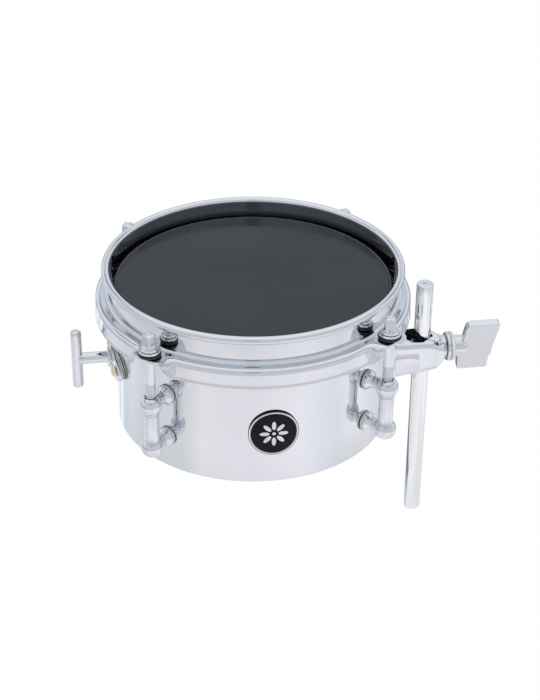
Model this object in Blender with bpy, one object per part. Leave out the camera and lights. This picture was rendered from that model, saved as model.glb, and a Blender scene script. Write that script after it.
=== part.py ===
"""Micro snare drum: a chromed steel shell with one head, four tube lugs, a snare throw and a rod clamp.

Metres, +Z up. The world origin is where the clamp bolt's axis crosses the mounting rod. The drum's own
frame has its axis at x = -ROD_REACH and its zero height at the bottom edge of the shell. The badge faces
-Y, the clamp is on the +X side and the T handle of the snare throw on the -X side.
"""
import math

import bmesh
import bpy
from mathutils import Matrix

MM = 0.001
TURN = 2.0 * math.pi

# Clearances
SEAT_GAP = 0.3 * MM       # between two faces that touch on the real drum
BORE_GAP = 0.3 * MM       # round a screw, shaft or rod in its hole
MERGE = 0.001 * MM

# Facets round a turned piece
RING_STEPS = 40           # shell, head and flesh hoop
HOOP_STEPS = 8            # hoop, between two ears
GUSSET_STEPS = 3
BODY_STEPS = 12           # lugs, shafts and rods
SMALL_STEPS = 10          # washers and bores
SCREW_STEPS = 8
WIRE_STEPS = 6

# Shell
SHELL_RADIUS = 76.2 * MM
SHELL_HEIGHT = 82.55 * MM
SHELL_WALL = 1.5 * MM
EDGE_ROUND = 2.2 * MM     # outside of the bearing edge
EDGE_FLANGE = 2.4 * MM    # flange at 45 degrees inside the bearing edge
LIP_WIDTH = 4.0 * MM      # lip turned in at the bottom
LIP_ROUND = 1.5 * MM

# Drumhead and its flesh hoop
FILM = 0.3 * MM
COLLAR_FLARE = 0.7 * MM
COLLAR_FOOT = 1.0 * MM    # from the flesh hoop's underside up to the end of the film
FLESH_WIDTH = 6.8 * MM
FLESH_HEIGHT = 7.0 * MM
FLESH_SHOULDER = 1.4 * MM

# Hoop
HOOP_SHEET = 1.6 * MM
RIM_ABOVE_HEAD = 10.05 * MM
BEAD_RADIUS = 2.2 * MM
LEDGE_DROP = 16.3 * MM    # from the top of the bead to the top of the ledge
SKIRT_DROP = 27.8 * MM    # from the top of the bead to the bottom of the skirt
HOOP_CLEARANCE = 1.0 * MM     # head collar to hoop wall
SKIRT_CLEARANCE = 0.8 * MM    # flesh hoop to skirt
SKIRT_BEND = 2.2 * MM     # bend radius at the middle of the sheet
WALL_BEND = 1.6 * MM      # where the wall turns into the ledge
EAR_WIDTH = 16.4 * MM
EAR_MARGIN = 5.0 * MM     # from the tension rod's axis to the ear's edge
GUSSET_WIDTH = 8.5 * MM   # along the hoop, from the ear's side to the plain skirt

# Tension rods and washers
LUG_COUNT = 4
ROD_OUTSET = 2.3 * MM     # from the skirt's face to the tension rod's axis
ROD_DIAMETER = 5.5 * MM
ROD_LENGTH = 48.1 * MM    # below its flange
ROD_POINT = 0.8 * MM      # chamfer at its lower end
ROD_HEAD_SIDE = 6.3 * MM
ROD_HEAD_HEIGHT = 5.2 * MM
ROD_HEAD_CORNER = 0.8 * MM
ROD_FLANGE_RADIUS = 5.5 * MM
ROD_FLANGE_HEIGHT = 2.8 * MM   # bell shaped, from its foot to the square
ROD_WASHER_RADIUS = 6.0 * MM
ROD_WASHER_THICKNESS = 0.8 * MM
CUSHION_RADIUS = 6.4 * MM
CUSHION_THICKNESS = 2.9 * MM

# Tube lugs
LUG_LOWER_Z = 20.1 * MM
LUG_SPAN = 26.4 * MM
BALL_RADIUS = 6.1 * MM
TUBE_RADIUS = 4.0 * MM
TUBE_COLLAR = 0.35 * MM   # how far the collar under the upper ball stands proud
TUBE_COLLAR_DROP = 1.1 * MM    # from where tube and ball meet to the collar's widest
LUG_MOUTH = 0.7 * MM      # flat rim round the bore at the top of the upper ball
POST_NECK_RADIUS = 3.2 * MM
POST_FOOT_RADIUS = 5.3 * MM
POST_FOOT_HEIGHT = 1.3 * MM
POST_FLARE = 3.0 * MM
LUG_BORE_FLOOR = 6.0 * MM  # above the lower ball's centre
GASKET_RADIUS = 5.6 * MM   # gasket under each post, one body with the lug here
GASKET_THICKNESS = 0.8 * MM
LUG_SCREW_RADIUS = 1.9 * MM
LUG_SCREW_LENGTH = 10.0 * MM
LUG_SCREW_HEAD_RADIUS = 3.5 * MM
LUG_SCREW_HEAD_HEIGHT = 2.4 * MM
LUG_WASHER_RADIUS = 4.6 * MM
LUG_WASHER_THICKNESS = 1.0 * MM

# Snare throw
SHAFT_Z = 39.6 * MM
SHAFT_RADIUS = 3.25 * MM
HANDLE_REACH = 22.3 * MM      # from the shell's face to the handle bar's axis
HANDLE_RADIUS = 3.0 * MM
HANDLE_LENGTH = 35.5 * MM
STRAINER_HALF_LENGTH = 22.0 * MM
STRAINER_HALF_HEIGHT = 7.5 * MM
STRAINER_THICKNESS = 2.4 * MM
STRAINER_SCREW_SPREAD = 15.0 * MM
STRAINER_SCREW_RADIUS = 1.5 * MM
STRAINER_HEAD_RADIUS = 3.3 * MM
STRAINER_HEAD_HEIGHT = 2.0 * MM
STRAINER_NUT_RADIUS = 3.1 * MM
STRAINER_NUT_HEIGHT = 2.2 * MM
BEARING_WALL = 1.1 * MM
BEARING_FLANGE_RADIUS = 6.0 * MM
BEARING_FLANGE_THICKNESS = 1.2 * MM
BEARING_INSIDE = 5.0 * MM     # how far the bearing stands inside the shell
BEARING_NUT_RADIUS = 7.2 * MM
BEARING_NUT_HEIGHT = 2.6 * MM
SHAFT_COLLAR_RADIUS = 6.0 * MM
SHAFT_COLLAR_WIDTH = 5.0 * MM
BUSH_RADIUS = 4.6 * MM
BUSH_FLANGE_RADIUS = 6.5 * MM
BUSH_FLANGE_THICKNESS = 1.6 * MM

# Cradle and snare wires
CRADLE_ROOM = 19.2 * MM           # from the shell's face to the outer face of a cradle arm
WIRE_LEAD = 4.0 * MM              # how far the wires lie ahead of the shaft, so that they only swing down
ARM_THICKNESS = 3.0 * MM
ARM_HUB_RADIUS = 6.5 * MM
ARM_HUB_WIDTH = 7.0 * MM
ARM_WAIST_WIDTH = 9.4 * MM
ARM_WAIST_RISE = 0.62             # shares of the way from the shaft up to the flange
ARM_SHOULDER_RISE = 0.86
ARM_TOP_WIDTH = 19.0 * MM
ARM_FLANGE_LENGTH = 12.0 * MM
ARM_FLANGE_THICKNESS = 1.8 * MM
SET_SCREW_RADIUS = 1.6 * MM
SET_SCREW_STAND = 0.8 * MM    # how far it stands out of the hub
END_PLATE_THICKNESS = 1.0 * MM
WIRE_COUNT = 8
WIRE_RADIUS = 1.0 * MM
WIRE_PITCH = 2.35 * MM
WIRE_LAP = 4.0 * MM               # how far the wires lie on an end plate
SOLDER_LAP = 0.3 * MM             # how deep they sink into its solder
PLATE_SCREW_RADIUS = 0.9 * MM
PLATE_HEAD_RADIUS = 1.7 * MM
PLATE_HEAD_HEIGHT = 0.9 * MM
PLATE_SCREW_LENGTH = 3.4 * MM

# Clamp bracket
BRACKET_REACH = 21.1 * MM     # from the shell's face to the mounting rod's axis
CLAMP_Z = 30.4 * MM
BRACKET_HALF_WIDTH = 10.0 * MM
BRACKET_TOP = 8.8 * MM        # above the clamp bolt's axis
BRACKET_BOTTOM = 11.5 * MM    # below it
BRACKET_NECK_RADIUS = 6.4 * MM
BRACKET_NOSE = 13.7 * MM      # from the rod's axis to the end of the neck
FOOT_HALF_WIDTH = 12.0 * MM
FOOT_TOP = 11.5 * MM
FOOT_BOTTOM = 14.8 * MM
FOOT_THICKNESS = 1.0 * MM
FOOT_FLARE = 2.4 * MM         # from the foot's face to where the body starts
SLOT_WALL = 2.0 * MM
SLOT_REAR = 11.3 * MM         # from the rod's axis to the slot's round end
SLOT_BLUNT = 1.0 * MM         # cut off the point of the rod's V seat
BRACKET_CORNER = 3.5 * MM
BRACKET_SCREW_SPREAD = 6.0 * MM
BRACKET_SCREW_DROP = 2.4 * MM
BRACKET_SCREW_RADIUS = 2.0 * MM
BRACKET_SCREW_LENGTH = 12.5 * MM
BRACKET_SCREW_HEAD_RADIUS = 4.0 * MM
BRACKET_SCREW_HEAD_HEIGHT = 2.8 * MM
BRACKET_WASHER_RADIUS = 4.4 * MM
BRACKET_WASHER_THICKNESS = 1.0 * MM
PANEL_DEPTH = 0.7 * MM        # sunk panel on the bracket's two sides
PANEL_LENGTH = 14.0 * MM

# Body of the bracket between foot and nose: share of the way, then how far its width, top and bottom
# have gone from the neck's size (0) to the body's (1)
BRACKET_PROFILE = (
    (0.072, 1.11, 1.24, 1.39),
    (0.210, 1.00, 1.00, 1.27),
    (0.521, 1.00, 1.00, 1.00),
    (0.671, 0.95, 0.88, 0.88),
    (0.790, 0.81, 0.50, 0.82),
    (0.868, 0.50, 0.04, 0.67),
    (0.925, 0.22, 0.00, 0.49),
    (0.965, 0.06, 0.00, 0.20),
    (1.000, 0.00, 0.00, 0.00),
)

# Backing plate
BACKING_HALF_WIDTH = 13.0 * MM
BACKING_THICKNESS = 2.0 * MM
BACKING_MARGIN = 7.0 * MM     # above the shaft's axis and below the bracket screws

# Eye bolt, washers, wing nut and mounting rod
MOUNT_ROD_RADIUS = 4.7625 * MM
MOUNT_ROD_LENGTH = 152.4 * MM
MOUNT_ROD_ABOVE = 42.1 * MM
MOUNT_ROD_CHAMFER = 0.5 * MM
ROD_CENTRE_RADIUS = 1.3 * MM
ROD_CENTRE_DEPTH = 2.0 * MM
EYE_WALL = 2.0 * MM
EYE_HEIGHT = 8.0 * MM
EYE_ROUND = 0.9 * MM
EYE_TRAVEL = 1.0 * MM
BOLT_RADIUS = 3.0 * MM
BOLT_REACH = 24.0 * MM        # from the rod's axis to the bolt's end
CLAMP_WASHER_RADIUS = 8.3 * MM
CLAMP_WASHER_THICKNESS = 1.8 * MM
CLAMP_WASHER_ROUND = 0.7 * MM
CLAMP_CUSHION_RADIUS = 8.4 * MM
CLAMP_CUSHION_THICKNESS = 2.0 * MM
HUB_RADIUS = 6.0 * MM
HUB_LENGTH = 8.6 * MM
WING_THICKNESS = 4.8 * MM
WING_EDGE = 0.7 * MM
WING_TILT = math.radians(18.0)
WING_ROOT = 4.5 * MM          # from the hub's face to where the wings start
WING_LENGTH = 24.9 * MM       # from the hub's face to the outer corner of the upper wing
WING_STEP = 22.0 * MM         # from the hub's face to the outer side of the lower wing
WING_TOP = 18.2 * MM
WING_BOTTOM = 18.4 * MM
WING_SHOULDER = 8.6 * MM
WING_LEAN = 1.0 * MM          # how much further out the upper wing starts than the lower one ends
WING_CUT = 0.8 * MM           # slope of the shoulder between the two
WING_WAIST = 1.3 * MM         # how far the lower wing reaches back over the hub
WING_HEEL = 0.2 * MM
WING_THROAT = 0.6 * MM
WING_CROWN = 1.5 * MM

# Badge
BADGE_Z = 31.9 * MM
BADGE_RADIUS = 13.5 * MM
BADGE_RIM = 1.9 * MM
BADGE_BASE = 0.6 * MM
BADGE_RIM_HEIGHT = 0.7 * MM
BADGE_STEPS = 24


def sag(curve, half):
    """How far a circle of radius curve falls away from its tangent, half to the side."""
    return curve - math.sqrt(curve ** 2 - half ** 2)


# Sizes that follow from the ones above
ROD_REACH = SHELL_RADIUS + BRACKET_REACH
SHELL_BORE = SHELL_RADIUS - SHELL_WALL
HEAD_UNDER = SHELL_HEIGHT + SEAT_GAP
HEAD_TOP = HEAD_UNDER + FILM
COLLAR_OUTER = SHELL_RADIUS + SEAT_GAP + FILM + COLLAR_FLARE
HOOP_TOP = HEAD_TOP + RIM_ABOVE_HEAD
HOOP_INNER = COLLAR_OUTER + HOOP_CLEARANCE
HOOP_OUTER = HOOP_INNER + HOOP_SHEET
LEDGE_TOP = HOOP_TOP - LEDGE_DROP
FLESH_TOP = LEDGE_TOP - HOOP_SHEET - SEAT_GAP
FLESH_BOTTOM = FLESH_TOP - FLESH_HEIGHT
FLESH_INNER = COLLAR_OUTER + SEAT_GAP
FLESH_OUTER = FLESH_INNER + FLESH_WIDTH
SKIRT_RADIUS = FLESH_OUTER + SKIRT_CLEARANCE + HOOP_SHEET
ROD_CIRCLE = SKIRT_RADIUS + ROD_OUTSET
EAR_EDGE = ROD_CIRCLE + EAR_MARGIN
LUG_UPPER_Z = LUG_LOWER_Z + LUG_SPAN
FITTING_FACE = SHELL_RADIUS + GASKET_THICKNESS + 2.0 * SEAT_GAP
CUSHION_FOOT = LEDGE_TOP + SEAT_GAP
WASHER_FOOT = CUSHION_FOOT + CUSHION_THICKNESS + SEAT_GAP
FLANGE_FOOT = WASHER_FOOT + ROD_WASHER_THICKNESS + SEAT_GAP
STRAINER_FRONT = FITTING_FACE + STRAINER_THICKNESS
BEARING_RADIUS = SHAFT_RADIUS + BORE_GAP + BEARING_WALL
HANDLE_X = SHELL_RADIUS + HANDLE_REACH
BACKING_FACE = SHELL_BORE - SEAT_GAP - BACKING_THICKNESS
SLOT_HALF_WIDTH = BRACKET_HALF_WIDTH - SLOT_WALL
ROD_SEAT = MOUNT_ROD_RADIUS + SEAT_GAP
EYE_HOLE_RADIUS = ROD_SEAT + 0.5 * EYE_TRAVEL
EYE_RADIUS = EYE_HOLE_RADIUS + EYE_WALL
EYE_CENTRE = 0.5 * EYE_TRAVEL
WASHER_X = BRACKET_NOSE + SEAT_GAP
CUSHION_X = WASHER_X + CLAMP_WASHER_THICKNESS + SEAT_GAP
HUB_X = CUSHION_X + CLAMP_CUSHION_THICKNESS + SEAT_GAP
CRADLE_HALF_LENGTH = SHELL_RADIUS - CRADLE_ROOM
WIRE_TOP = HEAD_UNDER - SEAT_GAP
WIRE_BOTTOM = WIRE_TOP - 2.0 * WIRE_RADIUS
END_PLATE_TOP = WIRE_BOTTOM + SOLDER_LAP
ARM_TOP = END_PLATE_TOP - END_PLATE_THICKNESS - SEAT_GAP
WEB_INNER = CRADLE_HALF_LENGTH - ARM_THICKNESS
FLANGE_END = CRADLE_HALF_LENGTH - ARM_FLANGE_LENGTH
WIRE_END = FLANGE_END + WIRE_LAP
PLATE_SCREW_X = 0.5 * (WIRE_END + WEB_INNER)
GRUB_X = WEB_INNER - 0.5 * (ARM_HUB_WIDTH - ARM_THICKNESS)
SHAFT_END = BACKING_FACE + BACKING_THICKNESS - SEAT_GAP
LUG_WASHER_FACE = SHELL_BORE - SEAT_GAP - sag(SHELL_BORE, LUG_WASHER_RADIUS)
LUG_BORE_END = LUG_WASHER_FACE + LUG_SCREW_LENGTH + BORE_GAP
BRACKET_FOOT_X = FITTING_FACE - ROD_REACH
BRACKET_SEAT_X = BACKING_FACE - sag(BACKING_FACE, BRACKET_SCREW_SPREAD + BRACKET_WASHER_RADIUS) - SEAT_GAP
BRACKET_BORE_END = BRACKET_SEAT_X + BRACKET_SCREW_LENGTH + BORE_GAP - ROD_REACH
ROD_BORE = 0.5 * ROD_DIAMETER + BORE_GAP
LUG_SCREW_BORE = LUG_SCREW_RADIUS + BORE_GAP
STRAINER_SCREW_BORE = STRAINER_SCREW_RADIUS + BORE_GAP
BRACKET_SCREW_BORE = BRACKET_SCREW_RADIUS + BORE_GAP
PLATE_SCREW_BORE = PLATE_SCREW_RADIUS + BORE_GAP
SET_SCREW_BORE = SET_SCREW_RADIUS + BORE_GAP
SHAFT_BORE = SHAFT_RADIUS + BORE_GAP
BEARING_BORE = BEARING_RADIUS + BORE_GAP

CHROME = ((0.80, 0.81, 0.84), 0.08, 1.0)
STEEL = ((0.60, 0.60, 0.62), 0.30, 1.0)
BLACK_FILM = ((0.035, 0.035, 0.037), 0.35, 0.0)
BLACK_NYLON = ((0.010, 0.010, 0.011), 0.40, 0.0)
ENAMEL = ((0.012, 0.012, 0.013), 0.15, 0.0)
IVORY = ((0.78, 0.72, 0.60), 0.45, 0.0)
RUBBER = ((0.55, 0.52, 0.45), 0.70, 0.0)
ALUMINIUM = ((0.72, 0.72, 0.74), 0.35, 1.0)
BRASS = ((0.78, 0.62, 0.36), 0.25, 1.0)

SIDES = {"rear": -1, "front": 1}
LUG_ANGLES = {
    "front_left": math.radians(-135.0),
    "front_right": math.radians(-45.0),
    "rear_right": math.radians(45.0),
    "rear_left": math.radians(135.0),
}


def clear_scene():
    for obj in list(bpy.data.objects):
        bpy.data.objects.remove(obj, do_unlink=True)


def finish_material(name, finish):
    colour, roughness, metallic = finish
    material = bpy.data.materials.new(name)
    material.use_nodes = True
    shader = material.node_tree.nodes["Principled BSDF"]
    shader.inputs["Base Color"].default_value = (*colour, 1.0)
    shader.inputs["Roughness"].default_value = roughness
    shader.inputs["Metallic"].default_value = metallic
    return material


def mesh_from(bm, name):
    mesh = bpy.data.meshes.new(name)
    bm.to_mesh(mesh)
    bm.free()
    return mesh


def add_piece(name, shape, finish, parent=None, place=(0.0, 0.0, 0.0), turn=(0.0, 0.0, 0.0)):
    """Link one named piece; shape is a bmesh, or a mesh that several pieces share."""
    mesh = shape if isinstance(shape, bpy.types.Mesh) else mesh_from(shape, name)
    piece = bpy.data.objects.new(name, mesh)
    bpy.context.scene.collection.objects.link(piece)
    if not mesh.materials:
        mesh.materials.append(None)
    piece.material_slots[0].link = "OBJECT"
    piece.material_slots[0].material = finish_material(name, finish)
    mesh.shade_smooth()
    mesh.set_sharp_from_angle(angle=math.radians(32.0))
    piece.parent = parent
    piece.location = place
    piece.rotation_euler = turn
    return piece


def add_frame(name, place, parent=None):
    """An empty that carries pieces; its origin is their reference point or joint axis."""
    frame = bpy.data.objects.new(name, None)
    frame.empty_display_size = 0.02
    frame.location = place
    frame.parent = parent
    bpy.context.scene.collection.objects.link(frame)
    return frame


def arc(centre, radius, start, end, steps):
    """Points (x, y) on an arc between two angles in degrees, both ends included."""
    points = []
    for i in range(steps + 1):
        angle = math.radians(start + (end - start) * i / steps)
        points.append((centre[0] + radius * math.cos(angle), centre[1] + radius * math.sin(angle)))
    return points


def close_up(bm):
    bmesh.ops.remove_doubles(bm, verts=bm.verts, dist=MERGE)
    bmesh.ops.recalc_face_normals(bm, faces=bm.faces)
    return bm


def turned(outline, steps):
    """An outline of (radius, height) points spun round Z; it closes on itself or on the axis."""
    bm = bmesh.new()
    points = [bm.verts.new((radius, 0.0, height)) for radius, height in outline]
    pairs = list(zip(points, points[1:]))
    if outline[0][0] > MERGE:
        pairs.append((points[-1], points[0]))
    edges = [bm.edges.new(pair) for pair in pairs]
    bmesh.ops.spin(
        bm, geom=points + edges, cent=(0, 0, 0), axis=(0, 0, 1), angle=TURN, steps=steps, use_merge=True
    )
    return close_up(bm)


def ring(inner, outer, low, high, steps):
    return turned([(inner, low), (outer, low), (outer, high), (inner, high)], steps)


def rod(radius, low, high, steps):
    return turned([(0.0, low), (radius, low), (radius, high), (0.0, high)], steps)


def slab(outline, low, high):
    """A flat outline of (x, y) points raised from low to high along Z."""
    bm = bmesh.new()
    face = bm.faces.new([bm.verts.new((x, y, low)) for x, y in outline])
    raised = bmesh.ops.extrude_face_region(bm, geom=[face])["geom"]
    top = [item for item in raised if isinstance(item, bmesh.types.BMVert)]
    bmesh.ops.translate(bm, verts=top, vec=(0.0, 0.0, high - low))
    return close_up(bm)


def lofted(rings, closed=False):
    """Skin through rings of points; the last ring joins the first, or both ends are capped."""
    bm = bmesh.new()
    rows = [[bm.verts.new(point) for point in points] for points in rings]
    pairs = list(zip(rows, rows[1:]))
    if closed:
        pairs.append((rows[-1], rows[0]))
    else:
        bm.faces.new(rows[0])
        bm.faces.new(rows[-1])
    for row, following in pairs:
        for i in range(len(row)):
            j = (i + 1) % len(row)
            bm.faces.new((row[i], row[j], following[j], following[i]))
    return close_up(bm)


def wrapped(outline, inner, outer, strips):
    """A flat outline of (arc length, height) bent round Z at +X, between two radii."""
    bm = bmesh.new()
    bm.faces.new([bm.verts.new((0.0, along, height)) for along, height in outline])
    half = max(abs(along) for along, height in outline)
    for i in range(1, strips):
        cut = half * (2.0 * i / strips - 1.0)
        flat = bm.verts[:] + bm.edges[:] + bm.faces[:]
        bmesh.ops.bisect_plane(bm, geom=flat, plane_co=(0, cut, 0), plane_no=(0, 1, 0), dist=MERGE)
    raised = bmesh.ops.extrude_face_region(bm, geom=bm.faces[:])["geom"]
    top = [item for item in raised if isinstance(item, bmesh.types.BMVert)]
    bmesh.ops.translate(bm, verts=top, vec=(outer - inner, 0.0, 0.0))
    for vert in bm.verts:
        radius = inner + vert.co.x
        angle = vert.co.y / inner
        vert.co = (radius * math.cos(angle), radius * math.sin(angle), vert.co.z)
    return close_up(bm)


def moved(bm, *matrices):
    for matrix in matrices:
        bm.transform(matrix)
    return bm


def gathered(*shapes):
    """Several closed bodies in one mesh; the shapes given are used up."""
    bm = bmesh.new()
    for shape in shapes:
        mesh = mesh_from(shape, "gathered")
        bm.from_mesh(mesh)
        bpy.data.meshes.remove(mesh)
    return bm


def combined(base, tool, operation="DIFFERENCE"):
    """Boolean of two bodies through Blender's modifier; both are used up and the result is a bmesh."""
    base_obj = bpy.data.objects.new("base", mesh_from(base, "base"))
    tool_obj = bpy.data.objects.new("tool", mesh_from(tool, "tool"))
    for obj in (base_obj, tool_obj):
        bpy.context.scene.collection.objects.link(obj)
    boolean = base_obj.modifiers.new("boolean", "BOOLEAN")
    boolean.object = tool_obj
    boolean.operation = operation
    boolean.solver = "EXACT"
    depsgraph = bpy.context.evaluated_depsgraph_get()
    result = bmesh.new()
    result.from_object(base_obj, depsgraph)
    for obj in (base_obj, tool_obj):
        mesh = obj.data
        bpy.data.objects.remove(obj, do_unlink=True)
        bpy.data.meshes.remove(mesh)
    bmesh.ops.remove_doubles(result, verts=result.verts, dist=MERGE)
    return result


def box(low, high):
    """Rectangular block between two corners."""
    outline = [(low[0], low[1]), (high[0], low[1]), (high[0], high[1]), (low[0], high[1])]
    return slab(outline, low[2], high[2])


def shift(x=0.0, y=0.0, z=0.0):
    return Matrix.Translation((x, y, z))


def about(axis, degrees):
    return Matrix.Rotation(math.radians(degrees), 4, axis)


def to_x():
    """Turns a piece made along +Z to lie along +X."""
    return about("Y", 90.0)


def round_hexagon(radius):
    return arc((0.0, 0.0), radius, 0.0, 300.0, 5)


def pan_screw(radius, height, shank, length, washer=None):
    """Screw along Z, its seat at zero: a domed head above, a shank below, and a captive washer if given."""
    washer_radius, seat = washer or (radius, 0.0)
    collar = [(washer_radius, 0.0), (washer_radius, seat)] if washer else []
    return turned(
        [
            (0.0, -length), (shank, -length), (shank, 0.0), *collar, (radius, seat),
            (radius, seat + 0.5 * height), (0.6 * radius, seat + height), (0.0, seat + height),
        ],
        SCREW_STEPS,
    )


def at_lug_posts():
    """Name and matrix of each lug post, for a piece made along +X from the drum's axis."""
    places = {}
    for corner, angle in LUG_ANGLES.items():
        for level, height in (("lower", LUG_LOWER_Z), ("upper", LUG_UPPER_Z)):
            places[corner + "_" + level] = shift(z=height) @ Matrix.Rotation(angle, 4, "Z")
    return places


def at_strainer_screws():
    """Name and matrix of each strainer screw, for a piece made along +X from the drum's axis."""
    spread = math.degrees(STRAINER_SCREW_SPREAD / SHELL_RADIUS)
    return {name: shift(z=SHAFT_Z) @ about("Z", 180.0 + side * spread) for name, side in SIDES.items()}


def at_bracket_screws():
    """Name and matrix of each bracket screw, for a piece made along +X from the drum's axis."""
    height = CLAMP_Z - BRACKET_SCREW_DROP
    return {name: shift(y=-side * BRACKET_SCREW_SPREAD, z=height) for name, side in SIDES.items()}


def hole_along_x(radius, near, far, steps=SMALL_STEPS):
    return moved(rod(radius, near, far, steps), to_x())


def make_shell(drum):
    """Cylinder with a lip turned in at the bottom and a rolled bearing edge, pierced for its fittings."""
    crown = SHELL_RADIUS - EDGE_ROUND
    top = SHELL_HEIGHT - EDGE_ROUND
    flange = 0.8 * SHELL_WALL
    slope = math.sqrt(0.5)
    reach = EDGE_ROUND + EDGE_FLANGE
    rise = EDGE_ROUND - EDGE_FLANGE
    outline = [
        (SHELL_RADIUS - LIP_WIDTH, 0.0),
        *arc((SHELL_RADIUS - LIP_ROUND, LIP_ROUND), LIP_ROUND, -90.0, 0.0, 1),
        *arc((crown, top), EDGE_ROUND, 0.0, 135.0, 3),
        (crown - reach * slope, top + rise * slope),
        (crown - (reach - flange) * slope, top + (rise - flange) * slope),
        (SHELL_BORE, top + (EDGE_ROUND - flange) * slope - 0.5 * flange),
        (SHELL_BORE, SHELL_WALL),
        (SHELL_RADIUS - LIP_WIDTH, SHELL_WALL),
    ]
    near = SHELL_BORE - 3.0 * SHELL_WALL
    far = SHELL_RADIUS + 3.0 * SHELL_WALL
    holes = [moved(hole_along_x(BEARING_BORE, -far, -near, BODY_STEPS), shift(z=SHAFT_Z))]
    for place in at_lug_posts().values():
        holes.append(moved(hole_along_x(LUG_SCREW_BORE, near, far), place))
    for place in at_strainer_screws().values():
        holes.append(moved(hole_along_x(STRAINER_SCREW_BORE, near, far), place))
    for place in at_bracket_screws().values():
        holes.append(moved(hole_along_x(BRACKET_SCREW_BORE, near, far), place))
    add_piece("shell", combined(turned(outline, RING_STEPS), gathered(*holes)), CHROME, drum)


def make_drumhead(drum):
    """Film drawn over the bearing edge, its collar flaring out into the flesh hoop."""
    crown = SHELL_RADIUS - EDGE_ROUND
    top = SHELL_HEIGHT - EDGE_ROUND
    inner_round = EDGE_ROUND + SEAT_GAP
    outer_round = inner_round + FILM
    collar_end = FLESH_BOTTOM + COLLAR_FOOT
    outline = [
        (0.0, HEAD_UNDER),
        *reversed(arc((crown, top), inner_round, 0.0, 90.0, 2)),
        (COLLAR_OUTER - FILM, collar_end),
        (COLLAR_OUTER, collar_end),
        *arc((crown, top), outer_round, 0.0, 90.0, 2),
        (0.0, HEAD_TOP),
    ]
    add_piece("drumhead", turned(outline, RING_STEPS), BLACK_FILM, drum)
    flesh = [
        (FLESH_INNER, FLESH_BOTTOM),
        (FLESH_OUTER, FLESH_BOTTOM),
        (FLESH_OUTER, FLESH_TOP - FLESH_SHOULDER),
        (FLESH_OUTER - FLESH_SHOULDER, FLESH_TOP),
        (FLESH_INNER, FLESH_TOP),
    ]
    add_piece("flesh_hoop", turned(flesh, RING_STEPS), ALUMINIUM, drum)


def ease(share):
    share = min(max(share, 0.0), 1.0)
    return share * share * (3.0 - 2.0 * share)


def hoop_section(away):
    """Section of the hoop's sheet, away radians round from the nearest tension rod.

    The sheet runs down from the rolled bead, out along the ledge and down the skirt. The bend into the
    skirt opens out as the section nears a rod, until ledge and skirt are one flat ear.
    """
    half = 0.5 * HOOP_SHEET
    ear_side = math.atan2(0.5 * EAR_WIDTH, EAR_EDGE)
    plain = ease((away - ear_side) * EAR_EDGE / GUSSET_WIDTH)
    fold = 0.5 * math.pi * plain
    zone = 0.5 * math.pi * SKIRT_BEND
    ledge_end = SKIRT_RADIUS - half - SKIRT_BEND
    skirt_length = zone + SKIRT_DROP - LEDGE_DROP - half - SKIRT_BEND
    ear_length = EAR_EDGE / math.cos(min(away, ear_side)) - ledge_end
    length = ear_length + (skirt_length - ear_length) * plain
    radius = ledge_end
    height = LEDGE_TOP - half
    spine = [(radius, height, 0.0)]
    for i in range(2):
        middle = fold * (i + 0.5) / 2.0
        radius += 0.5 * zone * math.cos(middle)
        height -= 0.5 * zone * math.sin(middle)
        spine.append((radius, height, fold * (i + 1) / 2.0))
    radius += (length - zone) * math.cos(fold)
    height -= (length - zone) * math.sin(fold)
    spine.append((radius, height, fold))
    upper = [(r + half * math.sin(a), h + half * math.cos(a)) for r, h, a in spine]
    lower = [(r - half * math.sin(a), h - half * math.cos(a)) for r, h, a in reversed(spine)]
    bead = (HOOP_INNER + BEAD_RADIUS, HOOP_TOP - BEAD_RADIUS)
    tuck = math.degrees(math.acos((BEAD_RADIUS - HOOP_SHEET) / BEAD_RADIUS))
    return [
        *arc(bead, BEAD_RADIUS, 180.0, tuck - 180.0, 4),
        (HOOP_OUTER, LEDGE_TOP + 0.6 * WALL_BEND),
        (HOOP_OUTER + 0.6 * WALL_BEND, LEDGE_TOP),
        *upper,
        *lower,
        (HOOP_INNER + WALL_BEND, LEDGE_TOP - HOOP_SHEET),
        (HOOP_INNER, LEDGE_TOP - HOOP_SHEET + WALL_BEND),
    ]


def make_hoop(drum):
    """Rolled and pressed sheet hoop with an ear and a hole at each tension rod."""
    ear_side = math.atan2(0.5 * EAR_WIDTH, EAR_EDGE)
    gusset = GUSSET_WIDTH / EAR_EDGE
    quarter = TURN / LUG_COUNT
    near = [0.0] + [ear_side + gusset * i / GUSSET_STEPS for i in range(GUSSET_STEPS + 1)]
    plain = quarter - 2.0 * near[-1]
    between = [near[-1] + plain * i / HOOP_STEPS for i in range(1, HOOP_STEPS)]
    offsets = near + between + [quarter - away for away in reversed(near[1:])]
    rings = []
    for start in sorted(LUG_ANGLES.values()):
        for offset in offsets:
            angle = start + offset
            section = hoop_section(min(offset, quarter - offset))
            rings.append([(r * math.cos(angle), r * math.sin(angle), h) for r, h in section])
    holes = []
    for angle in LUG_ANGLES.values():
        hole = rod(ROD_BORE, LEDGE_TOP - 3.0 * HOOP_SHEET, LEDGE_TOP + HOOP_SHEET, SMALL_STEPS)
        holes.append(moved(hole, shift(x=ROD_CIRCLE), Matrix.Rotation(angle, 4, "Z")))
    add_piece("hoop", combined(lofted(rings, closed=True), gathered(*holes)), CHROME, drum)


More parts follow.
